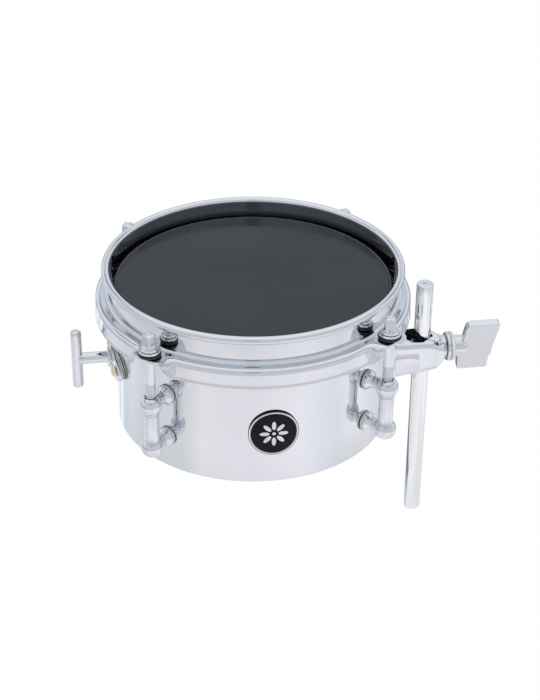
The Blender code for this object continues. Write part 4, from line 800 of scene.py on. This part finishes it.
def make_tension_rods():
    """Square headed rods with a bell base, on a metal washer and a thick nylon cushion."""
    shank = threaded(ROD_RADIUS, ROD_PITCH, 0.24, -ROD_LENGTH, -ROD_PLAIN)
    smooth = lathe([(ROD_RADIUS, -ROD_PLAIN - 0.3), (ROD_RADIUS, -9.0), (ROD_RADIUS, 0.5)], 48)
    hole = ROD_RADIUS + SEAT
    washer = oblong(hole, WASHER_RADIUS, 0.0, WASHER_THICKNESS, 0.1, 0.2, 0.5, 0.1)
    cushion = rounded([
        (hole, 0.0, 0.2), (CUSHION_RADIUS - 0.4, 0.0, 0.5), (CUSHION_RADIUS, 0.5 * CUSHION_THICKNESS, 1.2),
        (CUSHION_RADIUS - 0.2, CUSHION_THICKNESS, 0.5), (hole, CUSHION_THICKNESS, 0.2),
    ])
    for corner in CORNERS:
        move = at_corner(corner)
        head = placed([skin(squared(KEY_HEAD))], spin(HEAD_TURNS[corner]))
        rod = placed([skin(shank), *smooth, *head], shift(z=FLANGE_FOOT), move)
        add_piece("key_rod_" + corner, rod, "chrome", corner + "_rod", "tension_rod_" + corner)
        for name, section, foot, finish in (
            ("washer_", washer, WASHER_FOOT, "chrome"), ("cushion_", cushion, CUSHION_FOOT, "nylon"),
        ):
            flat = ring(section, 64, shift(z=foot), move)
            add_piece("ear_" + name + corner, flat, finish, "hoop", "rod_" + name + corner)


def oval(half_length, half_height, steps=96):
    """Oval with full ends: x = a cos^0.75 t, y = b sin^0.85 t."""
    t = full_turn(steps)
    x = half_length * np.sign(np.cos(t)) * np.abs(np.cos(t)) ** 0.75
    y = half_height * np.sign(np.sin(t)) * np.abs(np.sin(t)) ** 0.85
    return np.column_stack([x, y])


def wrapped_plate(outline, inner, thickness, edge, move):
    """Plate with rounded rims wrapped on the shell: its outline is (along, height), its back at radius inner.

    Each row of the flat plate is filled in towards the middle so that it bends smoothly.
    """
    rows = softened(outline, inner, inner + thickness, edge)
    centre = np.broadcast_to(outline.mean(axis=0), (len(outline), 2))
    fill = np.linspace(0.0, 1.0, 9)[1:-1, None, None]

    def filled(row, shares):
        middle = np.hstack([centre, row[:, 2:]])
        return middle + (row - middle) * shares

    rows = np.concatenate([filled(rows[0], fill), rows, filled(rows[-1], fill[::-1])])
    return placed([skin(bent(rows[..., [2, 0, 1]]))], move)


def make_strainer():
    """Fixed part of the snare throw: bowed plate on its gasket, two screws with nuts, and the bearing."""
    outline = oval(PLATE_HALF_LENGTH, PLATE_HALF_HEIGHT)
    plate = wrapped_plate(outline, FITTING_FACE, PLATE_FACE - FITTING_FACE, 0.8, on_left)
    pad = wrapped_plate(PAD_SHARE * outline, SHELL_RADIUS + SEAT, GASKET_THICKNESS, 0.2, on_left)
    add_piece("throw_plate", plate, "chrome", "drum", "strainer_plate")
    add_piece("throw_gasket", pad, "gasket", "drum", "strainer_gasket")

    face = PLATE_FACE + SEAT
    inside = SHELL_BORE - BEARING_INSIDE
    radius, thickness = BEARING_FLANGE
    bearing = rounded([
        (SHAFT_BORE, inside, 0.2), (SHAFT_BORE + BEARING_WALL, inside, 0.3),
        (SHAFT_BORE + BEARING_WALL, face), (radius, face, 0.3), (radius, face + thickness, 0.5),
        (SHAFT_BORE, face + thickness, 0.2),
    ])
    add_piece("bearing_bush", ring(bearing, 64, to_x, on_left), "chrome", "drum", "shaft_bearing")
    nut = placed(hexagon_nut(*BEARING_NUT, -span("bearing_nut")[0]), to_x, on_left)
    add_piece("bearing_locknut", nut, "steel", "drum", "bearing_nut")
    for name, side in SIDES.items():
        moves = (to_x, spin(side * STRAINER_SPREAD), on_left)
        fixing = placed(screw(*STRAINER_SCREW), shift(z=face), *moves)
        add_piece("plate_screw_" + name, fixing, "brass", "drum", "strainer_screw_" + name)
        nut = placed(hexagon_nut(*STRAINER_NUT, SHELL_BORE - 0.37), *moves)
        add_piece("plate_nut_" + name, nut, "steel", "drum", "strainer_nut_" + name)


def hexagon_nut(radius, bore, height, face):
    """Nut along Z, its outer face at face: six flats with the corners turned off in a 30 degree chamfer."""
    turn = full_turn(72)
    flat = radius * math.cos(math.pi / 6.0) / np.cos((turn % (math.pi / 3.0)) - math.pi / 6.0)
    rim = 0.92 * radius
    slope = (radius - rim) * math.tan(math.radians(30.0))
    mid = 0.5 * (rim + radius)
    lifts = np.array([0.0, 0.0, 0.5 * slope, slope, height - slope, height - 0.5 * slope, height, height])
    reach = np.minimum(np.array([bore, rim, mid, radius, radius, mid, rim, bore])[:, None], flat)
    return [skin(around(reach, turn, face - height + lifts[:, None]), loop=True)]


def make_throw():
    """Moving part of the snare throw: shaft, T handle, collar, arms, screws and the snare wires."""
    profile = oblong(0.0, SHAFT_RADIUS, 0.3 - HANDLE_X, span("throw_shaft")[1], 0.0, 0.2, 0.4, 0.0)
    add_piece("cross_shaft", lathe(profile, 64, to_x, on_shaft), "chrome", "snare_throw", "throw_shaft")
    half = 0.5 * HANDLE_LENGTH
    grip = oblong(0.0, HANDLE_RADIUS, -half, half, 0.0, 1.6, 1.6, 0.0, steps=10)
    bar = lathe(grip, 64, shift(-HANDLE_X), on_shaft)
    add_piece("t_handle", bar, "chrome", "snare_throw", "throw_handle_bar")
    section = oblong(SHAFT_FIT, COLLAR_RADIUS, *span("shaft_collar"), 0.2, 0.5, 0.5, 0.2)
    collar = ring(section, 64, to_x, on_shaft)
    add_piece("stop_collar", collar, "steel", "snare_throw", "shaft_collar")
    grub = rounded([
        (0.0, -7.3), (0.7, -7.3), (0.7, -7.25), (1.6, -7.3, 0.2), (1.6, -3.6, 0.2), (0.0, -3.6),
    ])
    for hand, side in HANDS.items():
        moves = (spin(180.0 if side < 0 else 0.0), on_shaft)
        arm = placed(cradle_arm(side), *moves)
        add_piece("wire_arm_" + hand, arm, "steel", "snare_throw", "cradle_arm_" + hand)
        pin = lathe(grub, 32, shift(GRUB_X), *moves)
        add_piece("grub_screw_" + hand, pin, "steel", "snare_throw", "arm_set_screw_" + hand)
        lift = shift(WIRE_SCREW_X, -side * WIRE_LEAD, WIRE_TOP - 1.4 - SHAFT_Z)
        fixing = placed(screw(*WIRE_SCREW), lift, *moves)
        add_piece("wire_screw_" + hand, fixing, "steel", "snare_throw", "snare_plate_screw_" + hand)
    add_piece("snare_coils", snare_wires(), "wire", "snare_throw", "snare_wires")


def cradle_arm(side):
    """Arm on the shaft: a bent strip up to its flange, and a round hub, each a closed skin."""
    rise = limits("cradle_arm_right")[1][2] - DRUM_Z - SHAFT_Z
    front = ARM_HALF_WIDTH + side * WIRE_LEAD
    back = ARM_HALF_WIDTH - side * WIRE_LEAD
    lean = side * 0.62 * WIRE_LEAD
    web = rounded([
        (-4.6, -4.2, 2.0), (4.6, -4.2, 2.0), (4.7 - lean, 0.62 * rise, 4.0), (back, 0.86 * rise, 3.0),
        (back, rise), (-front, rise), (-front, 0.86 * rise, 3.0), (-4.7 - lean, 0.62 * rise, 4.0),
    ])
    strip = softened(web, CRADLE_HALF - ARM_THICKNESS, CRADLE_HALF, 0.3)[..., [2, 0, 1]]
    length, thickness = ARM_FLANGE
    shelf = oblong(CRADLE_HALF - length, CRADLE_HALF - 0.5 * ARM_THICKNESS, -front, back, 1.5, 0.0, 0.0, 1.5)
    radius, width = ARM_HUB
    hub = oblong(SHAFT_FIT, radius, CRADLE_HALF - width, CRADLE_HALF, 0.3, 0.8, 0.4, 0.3)
    return [skin(strip), skin(softened(shelf, rise - thickness, rise, 0.3)), *ring(hub, 64, to_x)]


def snare_wires():
    """Coiled wires side by side on two soldered end plates.

    A wire follows (x, a cos kx, a sin kx) and its round section stands square to that line.
    """
    plate_top = WIRE_TOP - 1.7 - SHAFT_Z
    inner = CRADLE_HALF - ARM_FLANGE[0]
    skins = []
    for side in HANDS.values():
        ends = sorted((side * inner, side * (CRADLE_HALF - ARM_THICKNESS)))
        plate = oblong(*ends, -ARM_HALF_WIDTH, ARM_HALF_WIDTH, 1.0)
        skins.append(skin(softened(plate, plate_top - END_PLATE_THICKNESS, plate_top, 0.15)))
    end = inner + WIRE_LAP
    coil = WIRE_RADIUS - WIRE_STRAND
    turns = int(2.0 * end / WIRE_COIL_PITCH)
    phase = np.linspace(0.0, FULL_TURN * turns, 10 * turns + 1)[:, None]
    strand = full_turn(5)
    lean = math.atan2(WIRE_COIL_PITCH, FULL_TURN * coil)
    reach = coil + WIRE_STRAND * np.cos(strand)
    swing = WIRE_STRAND * np.sin(strand)
    points = np.stack([
        -end + 2.0 * end * phase / phase[-1] + swing * math.cos(lean),
        reach * np.cos(phase) + swing * math.sin(lean) * np.sin(phase),
        reach * np.sin(phase) - swing * math.sin(lean) * np.cos(phase),
    ], axis=-1)
    for i in range(WIRE_COUNT):
        across = (i - 0.5 * (WIRE_COUNT - 1)) * WIRE_PITCH
        skins.append(skin(shift(0.0, across, WIRE_TOP - WIRE_RADIUS - SHAFT_Z)(points)))
    return placed(skins, shift(y=-WIRE_LEAD), on_shaft)


def make_inner_screws():
    """Screws with washers that hold the lugs and the bracket from inside the shell."""
    for corner, angle in CORNERS.items():
        for level, z in LUG_HEIGHTS.items():
            place = shift(SHELL_BORE - SEAT - 0.14, 0.0, z)
            fixing = placed(screw(*LUG_SCREW), to_x, spin(180.0), place, spin(angle), on_drum)
            name = f"{corner}_{level}"
            add_piece("post_screw_" + name, fixing, "steel", "drum", "lug_screw_" + name)
    for name in SIDES:
        low, high = limits("bracket_screw_" + name)
        middle = 0.5 * (low + high)
        place = shift(high[0] - BRACKET_SCREW[3], middle[1], middle[2])
        fixing = placed(screw(*BRACKET_SCREW), to_x, spin(180.0), place)
        add_piece("foot_screw_" + name, fixing, "steel", "drum", "bracket_screw_" + name)


def smooth_table(table, count):
    """Table resampled along its first column by a cubic that keeps each column's rises and falls.

    Slope at a row is the harmonic mean of the slopes on both sides, or zero where they differ in sign.
    """
    table = np.asarray(table, float)
    place, values = table[:, 0], table[:, 1:]
    step = np.diff(place)[:, None]
    rise = np.diff(values, axis=0) / step
    both = rise[:-1] * rise[1:]
    inner = np.where(both > 0.0, 2.0 * both / np.where(both > 0.0, rise[:-1] + rise[1:], 1.0), 0.0)
    slope = np.vstack([rise[:1], inner, rise[-1:]])
    at = np.linspace(place[0], place[-1], count)
    i = np.clip(np.searchsorted(place, at, side="right") - 1, 0, len(place) - 2)
    t = ((at - place[i])[:, None]) / step[i]
    low, high = values[i], values[i + 1]
    cubic = (
        (1.0 + 2.0 * t) * (1.0 - t) ** 2 * low + t * (1.0 - t) ** 2 * step[i] * slope[i]
        + t ** 2 * (3.0 - 2.0 * t) * high + t ** 2 * (t - 1.0) * step[i] * slope[i + 1]
    )
    return np.column_stack([at, cubic])


def bracket_row(x, half_width, high, low, corner):
    """Rounded rectangle across the bracket at x, as points (x, y, z)."""
    outline = oblong(-half_width, half_width, -low, high, corner, steps=7)
    return np.column_stack([np.full(len(outline), x), outline])


def bracket_mesh():
    """Bracket lofted from foot to nose, cut for shell, rod, eye and bolt, with a raised panel each side."""
    rows = []
    for depth, inset in ((-1.3, 0.0), (FOOT_THICKNESS - 0.4, 0.0), (FOOT_THICKNESS, 0.4)):
        size = [length - inset for length in FOOT_SIZE]
        rows.append(bracket_row(BRACKET_FOOT_X + depth, *size, BRACKET_CORNER - inset))
    for share, *parts in smooth_table(BRACKET_PROFILE, 34):
        size = [NECK_RADIUS + part * (length - NECK_RADIUS) for part, length in zip(parts, BRACKET_SIZE)]
        corner = NECK_RADIUS - min(parts[0], 1.0) * (NECK_RADIUS - BRACKET_CORNER)
        rows.append(bracket_row(BRACKET_FOOT_X + share * (BRACKET_NOSE - BRACKET_FOOT_X), *size, corner))
    body = mesh_of("bracket", [skin(np.stack(rows))])

    tall = 3.0 * FOOT_SIZE[2]
    apex = (MOUNT_RADIUS + SEAT) * math.sqrt(2.0)
    flank = apex - SLOT_HALF_WIDTH - 0.1
    slot = np.vstack([
        arc((SLOT_HALF_WIDTH - SLOT_REAR, 0.0), SLOT_HALF_WIDTH, 90.0, 270.0, 24),
        rounded([
            (flank, -SLOT_HALF_WIDTH), (apex - SLOT_BLUNT, -SLOT_BLUNT, 0.8),
            (apex - SLOT_BLUNT, SLOT_BLUNT, 0.8), (flank, SLOT_HALF_WIDTH),
        ]),
    ])
    pocket_radius = EYE_HOLE + EYE_WALL + SEAT
    pocket = np.vstack([
        arc((EYE_CENTRE, 0.0), pocket_radius, -90.0, 90.0, 24),
        [(-SLOT_HALF_WIDTH, pocket_radius), (-SLOT_HALF_WIDTH, -pocket_radius)],
    ])
    height = EYE_HALF_HEIGHT + SEAT
    hole = BOLT_RADIUS + SEAT
    for cutter in (
        lathe([(FITTING_FACE, -tall), (FITTING_FACE, tall)], 256, shift(DRUM_X)), slab(slot, -tall, tall),
        slab(pocket, -height, height), lathe([(hole, 0.0), (hole, 2.0 * BRACKET_NOSE)], 40, to_x),
    ):
        body = joined(body, mesh_of("cutter", cutter))
    start = BRACKET_FOOT_X + FOOT_FLARE
    panel = oblong(start, start + PANEL_LENGTH, -PANEL_DROP, 0.0, 0.0, 0.0, 1.6, 0.6)
    for side in SIDES.values():
        ends = sorted((side * (BRACKET_SIZE[0] - PANEL_ROOT), side * (BRACKET_SIZE[0] + PANEL_HEIGHT)))
        upright = placed(slab(panel, *ends), lambda points: points[:, [0, 2, 1]])
        body = joined(body, mesh_of("panel", upright), "UNION")
    return softened_edges(body, 0.3)


def in_slot(mesh):
    """True for each face on the walls of the rod's slot: its middle is in the slot and it faces sideways."""
    middles, normals = np.empty((2, 3 * len(mesh.polygons)))
    mesh.polygons.foreach_get("center", middles)
    mesh.polygons.foreach_get("normal", normals)
    x, y = middles.reshape(-1, 3).T[:2] / MM
    inside = (np.abs(y) < SLOT_HALF_WIDTH + 0.1) & (x > -SLOT_REAR - 0.1) & (x < SLOT_HALF_WIDTH + 0.5)
    return inside & (np.abs(normals.reshape(-1, 3)[:, 2]) < 0.8)


def make_bracket():
    """Bracket on its gasket, with the backing plate and the shaft's end bush inside the shell."""
    bracket = add_piece("clamp_bracket", bracket_mesh(), "chrome", "drum", "bracket_body", sharp=40.0).data
    # The slot's walls get the near-black painted-shade finish, standing in for the shade inside the slot.
    bracket.materials.append(FINISH["slot_shade"])
    bracket.polygons.foreach_set("material_index", in_slot(bracket).astype(np.int32))
    half_width, high, low = FOOT_SIZE
    foot = oblong(-half_width, half_width, CLAMP_Z - low, CLAMP_Z + high, BRACKET_CORNER)
    pad = wrapped_plate(foot, SHELL_RADIUS + SEAT, GASKET_THICKNESS, 0.2, on_drum)
    add_piece("foot_gasket", pad, "gasket", "drum", "bracket_gasket")

    low, high = limits("backing_plate")
    plate = oblong(-high[1], high[1], low[2] - DRUM_Z, high[2] - DRUM_Z, BRACKET_CORNER)
    sheet = wrapped_plate(plate, SHELL_BORE - SEAT - BACKING_THICKNESS, BACKING_THICKNESS, 0.3, on_drum)
    add_piece("backing_sheet", sheet, "steel", "drum", "backing_plate")

    low, high = span("shaft_end_bush")
    radius, thickness = BUSH_FLANGE
    bush = rounded([
        (SHAFT_BORE, low, 0.3), (radius, low, 0.4), (radius, low + thickness, 0.3),
        (BUSH_RADIUS, low + thickness), (BUSH_RADIUS, high), (SHAFT_BORE, high),
    ])
    add_piece("end_bush", ring(bush, 64, to_x, on_shaft), "ivory", "drum", "shaft_end_bush")


def make_clamp():
    """Mounting rod, eye bolt, washers and wing nut; the nut is a hub and a flat key of two unlike wings."""
    low, high = (corner[2] for corner in limits("mounting_rod"))
    rod = rounded([
        (0.0, low), (MOUNT_RADIUS, low, 0.7), (MOUNT_RADIUS, high, 0.7), (1.3, high, 0.15), (0.8, high - 2.0),
        (0.0, high - 2.0),
    ])
    add_piece("drum_rod", lathe(rod, 96), "rod", "mounting_rod", "mounting_rod")
    eye = oblong(EYE_HOLE, EYE_HOLE + EYE_WALL, -EYE_HALF_HEIGHT, EYE_HALF_HEIGHT, 0.3, 0.9, 0.9, 0.3)
    start = EYE_CENTRE + EYE_HOLE + 0.5 * EYE_WALL
    shank = skin(to_x(threaded(BOLT_RADIUS, 1.0, 0.3, start, BOLT_REACH)))
    add_piece("clamp_eye", [*ring(eye, 96, shift(EYE_CENTRE)), shank], "steel", "eye_bolt", "eye_bolt")
    for name, start, (radius, thickness), radii, finish in (
        ("washer", WASHER_X, CLAMP_WASHER, (0.0, 0.7, 0.2, 0.0), "chrome"),
        ("cushion", CUSHION_X, CLAMP_CUSHION, (0.0, 0.5, 0.5, 0.0), "ivory"),
    ):
        section = oblong(BOLT_RADIUS + SEAT, radius, start, start + thickness, *radii)
        add_piece("nut_" + name, ring(section, 80, to_x), finish, "drum", "clamp_" + name)

    half = 0.5 * WING_THICKNESS
    stand = Matrix(((1, 0, 0, HUB_X * MM), (0, 0, -1, 0), (0, 1, 0, 0), (0, 0, 0, 1)))
    tilt = Matrix.Rotation(WING_TILT, 4, "X")
    key = softened_edges(mesh_of("key", slab(rounded(WING_OUTLINE), -half, half)), WING_EDGE, 60.0, 4)
    key.transform(tilt @ stand)
    add_piece("wing_key", key, "chrome", "wing_nut", "wing_nut", sharp=50.0)
    hub = rounded([
        (0.0, 0.0), (HUB_RADIUS, 0.0, 0.4), (HUB_RADIUS, 4.5, 1.0),
        (0.78 * HUB_RADIUS, 0.86 * HUB_LENGTH, 1.2), (0.3 * HUB_RADIUS, HUB_LENGTH, 0.8),
        (0.0, HUB_LENGTH),
    ])
    add_piece("wing_hub", lathe(hub, 80, to_x, shift(HUB_X)), "chrome", "wing_nut")
    ribs = mesh_of("ribs", wing_ribs())
    ribs.transform(tilt @ stand)
    add_piece("wing_ribs", ribs, "chrome", "wing_nut")


def wing_ribs():
    """Low round ribs across both faces of the upper wing, and a small boss near its inner corner."""
    skins = []
    half = 0.5 * WING_THICKNESS
    turn = full_turn(12)
    for face in (-1.0, 1.0):
        for i in range(5):
            start, end = 8.2 - 0.3 * i, 22.9 - 0.3 * i
            rows = np.linspace(start, end, 12)[:, None]
            fade = np.sqrt(np.clip(1.0 - np.abs(2.0 * (rows - start) / (end - start) - 1.0) ** 8, 0.02, 1.0))
            y = 10.8 - 3.3 * i + 0.85 * fade * np.cos(turn)
            z = face * (half - 0.14) + 0.26 * fade * np.sin(turn)
            skins.append(skin(np.stack(np.broadcast_arrays(rows, y, z), axis=-1)))
        boss = turned([(1.2, 0.0), (1.2, 0.2), (0.9, 0.4), (0.4, 0.5)], 24)
        boss[..., 2] = face * (half - 0.1 + boss[..., 2])
        skins.append(skin(shift(10.4, 13.6)(boss)))
    return skins


def make_badge():
    """Badge: chromed pan with a rolled rim, a thin black ring round it as painted shade for the gap under the
    rim, glossy enamel and a rosette of eight petals.
    """
    low = SHELL_RADIUS + SEAT
    floor = low + 0.6
    top = floor + 0.7
    well = BADGE_RADIUS - 1.25
    edge = BADGE_RADIUS - 0.3

    def front(points):
        return on_drum(shift(z=BADGE_Z)(spin(-90.0)(bent(points[..., ::-1]))))

    def stretched(points):
        return points * [2.6, 1.15, 1.0]

    pan = rounded([
        (0.0, low), (0.5 * well, low), (edge - 0.2, low), (edge - 0.1, low), (edge, low + 0.2, 0.2),
        (edge, top - 0.3, 0.3), (edge - 0.35, top, 0.3), (edge - 0.7, top - 0.1, 0.3),
        (well + 0.15, top - 0.4, 0.1), (well, top - 0.3, 0.1), (well, floor, 0.1), (0.9 * well, floor),
        (0.5 * well, floor), (0.0, floor),
    ])
    add_piece("badge_pan", lathe(pan, 128, front), "chrome", "drum", "badge_rim")
    rim = well - 0.03
    disc = rounded([
        (0.0, floor + 0.1), (0.5 * well, floor + 0.1), (rim, floor + 0.12), (rim, top - 0.35, 0.2),
        (0.8 * well, top - 0.15), (0.5 * well, top - 0.1), (0.0, top - 0.1),
    ])
    # Painted shade: a thin black ring just outside the pan's edge, standing in for the shadowed gap under the
    # rim; it shares the enamel's finish.
    shade_ring = oblong(edge + 0.02, BADGE_RADIUS, low, low + BADGE_SHADE_THICKNESS, 0.05, 0.1, 0.1, 0.05)
    faces = lathe(disc, 128, front) + ring(shade_ring, 128, front)
    add_piece("badge_enamel_and_painted_shade", faces, "enamel", "drum", "badge_disc")

    foot = top - 0.22
    petal = rounded([(0.0, foot), (1.0, foot), (1.0, foot + 0.14, 0.1), (0.0, foot + 0.24)])
    marks = lathe(petal, 32, front)
    for i in range(PETALS):
        marks += lathe(petal, 32, stretched, shift(0.4 * well), spin(360.0 / PETALS * i), front)
    add_piece("badge_marks", marks, "motif", "drum")


def add_stage():
    """Pale floor that keeps a soft shadow; in metal it shows as paper with soft bands round the drum."""
    mesh = bpy.data.meshes.new("floor")
    corners = [(x * FLOOR_REACH, y * FLOOR_REACH, FLOOR_Z) for x, y in ((-1, -1), (1, -1), (1, 1), (-1, 1))]
    mesh.from_pydata(corners, [], [(0, 1, 2, 3)])
    floor = linked("floor", mesh)
    material = bpy.data.materials.new("floor")
    material.use_nodes = True
    mesh.materials.append(material)
    tree = material.node_tree
    shader = tree.nodes["Principled BSDF"]
    feed(shader.inputs["Base Color"], FLOOR_PAPER)
    feed(shader.inputs["Roughness"], 0.9)
    place = added(tree, "TexCoord")["Object"]
    centred = added(tree, "Mapping", {"Vector": place, "Location": (-DRUM_X * MM, 0.0, -FLOOR_Z)})["Vector"]
    turn = compass(tree, centred)[1]
    away = added(tree, "VectorMath", {0: place, 1: (*PLAIN_PLACE, FLOOR_Z)}, operation="DISTANCE")["Value"]
    far = added(tree, "VectorMath", {0: centred}, operation="LENGTH")["Value"]
    banded = added(
        tree, "MapRange", {"Value": away, "From Min": PLAIN_NEAR, "From Max": PLAIN_FAR},
        interpolation_type="SMOOTHSTEP",
    )["Result"]
    mixed = {"Factor": banded, "A": PAPER_PLAIN, "B": tones(tree, turn, PAPER_BANDS)}
    tint = added(tree, "Mix", mixed, data_type="RGBA")["Result"]
    strength = reckoned(tree, "MULTIPLY", tones(tree, far, PAPER_REACH), PAPER_STRENGTH)
    paper = added(tree, "Emission", {"Color": tint, "Strength": strength})["Emission"]
    glow = added(tree, "Emission", {"Color": WHITE})["Emission"]
    path = added(tree, "LightPath")
    mirrored = reckoned(tree, "MAXIMUM", path["Is Glossy Ray"], path["Is Transmission Ray"])
    direct = reckoned(tree, "MULTIPLY", path["Is Camera Ray"], FLOOR_WHITE)
    seen = added(tree, "MixShader", {"Fac": mirrored, 1: shader.outputs["BSDF"], 2: paper})["Shader"]
    result = added(tree, "MixShader", {"Fac": direct, 1: seen, 2: glow})["Shader"]
    feed(tree.nodes["Material Output"].inputs["Surface"], result)


def add_world():
    """White to the camera; in metal a pale studio, greyer walls and a dark slot where the camera stands."""
    world = bpy.data.worlds.new("studio")
    bpy.context.scene.world = world
    world.use_nodes = True
    tree = world.node_tree
    parts, turn = compass(tree, added(tree, "TexCoord")["Generated"])
    height, depth = (reckoned(tree, "MULTIPLY_ADD", parts[axis], 0.5, 0.5) for axis in "ZY")
    studio = tones(tree, height, STUDIO_HEIGHTS)
    reach = tones(tree, height, TURNS_REACH)
    for source, stops, share in ((depth, STUDIO_DEPTHS, 1.0), (turn, STUDIO_TURNS, reach)):
        feeds = {"Factor": share, "A": studio, "B": tones(tree, source, stops)}
        studio = added(tree, "Mix", feeds, data_type="RGBA", blend_type="MULTIPLY")["Result"]
    plain = tree.nodes["Background"]
    feed(plain.inputs["Color"], studio)
    feed(plain.inputs["Strength"], STUDIO_STRENGTH)
    white = added(tree, "Background", {"Color": WHITE})["Background"]
    direct = added(tree, "LightPath")["Is Camera Ray"]
    result = added(tree, "MixShader", {"Fac": direct, 1: plain.outputs["Background"], 2: white})["Shader"]
    feed(tree.nodes["World Output"].inputs["Surface"], result)


def add_lamp(name, place, size, power):
    """Square soft box at place, facing the drum; the metal does not show it."""
    data = bpy.data.lights.new(name, "AREA")
    data.size = size
    data.energy = power
    lamp = linked(name, data)
    lamp.location = place
    aim = Vector((DRUM_X * MM, 0.0, 0.0)) - lamp.location
    lamp.rotation_euler = aim.to_track_quat("-Z", "Y").to_euler()
    lamp.visible_glossy = False


def add_camera():
    """Camera of the photograph; the shift moves the lens axis off the middle of the picture."""
    data = bpy.data.cameras.new("camera")
    data.sensor_width = SENSOR
    data.lens = SENSOR * FOCAL_PIXELS / IMAGE_HEIGHT
    data.shift_x = (0.5 * IMAGE_WIDTH - CENTRE_X) / IMAGE_HEIGHT
    data.shift_y = (CENTRE_Y - 0.5 * IMAGE_HEIGHT) / IMAGE_HEIGHT
    camera = linked("camera", data)
    camera.location = CAMERA_PLACE
    camera.rotation_euler = (0.5 * math.pi - CAMERA_ELEVATION, 0.0, CAMERA_TURN)
    bpy.context.scene.camera = camera


add_camera()
add_world()
add_stage()
add_lamp("key", (-0.9, -1.1, 1.5), 1.2, 9.0)
add_lamp("fill", (1.2, -0.8, 0.9), 0.8, 4.0)
make_shell()
make_head()
make_hoop()
make_lugs()
make_tension_rods()
make_strainer()
make_throw()
make_inner_screws()
make_bracket()
make_clamp()
make_badge()

bpy.context.scene.view_settings.view_transform = "Standard"
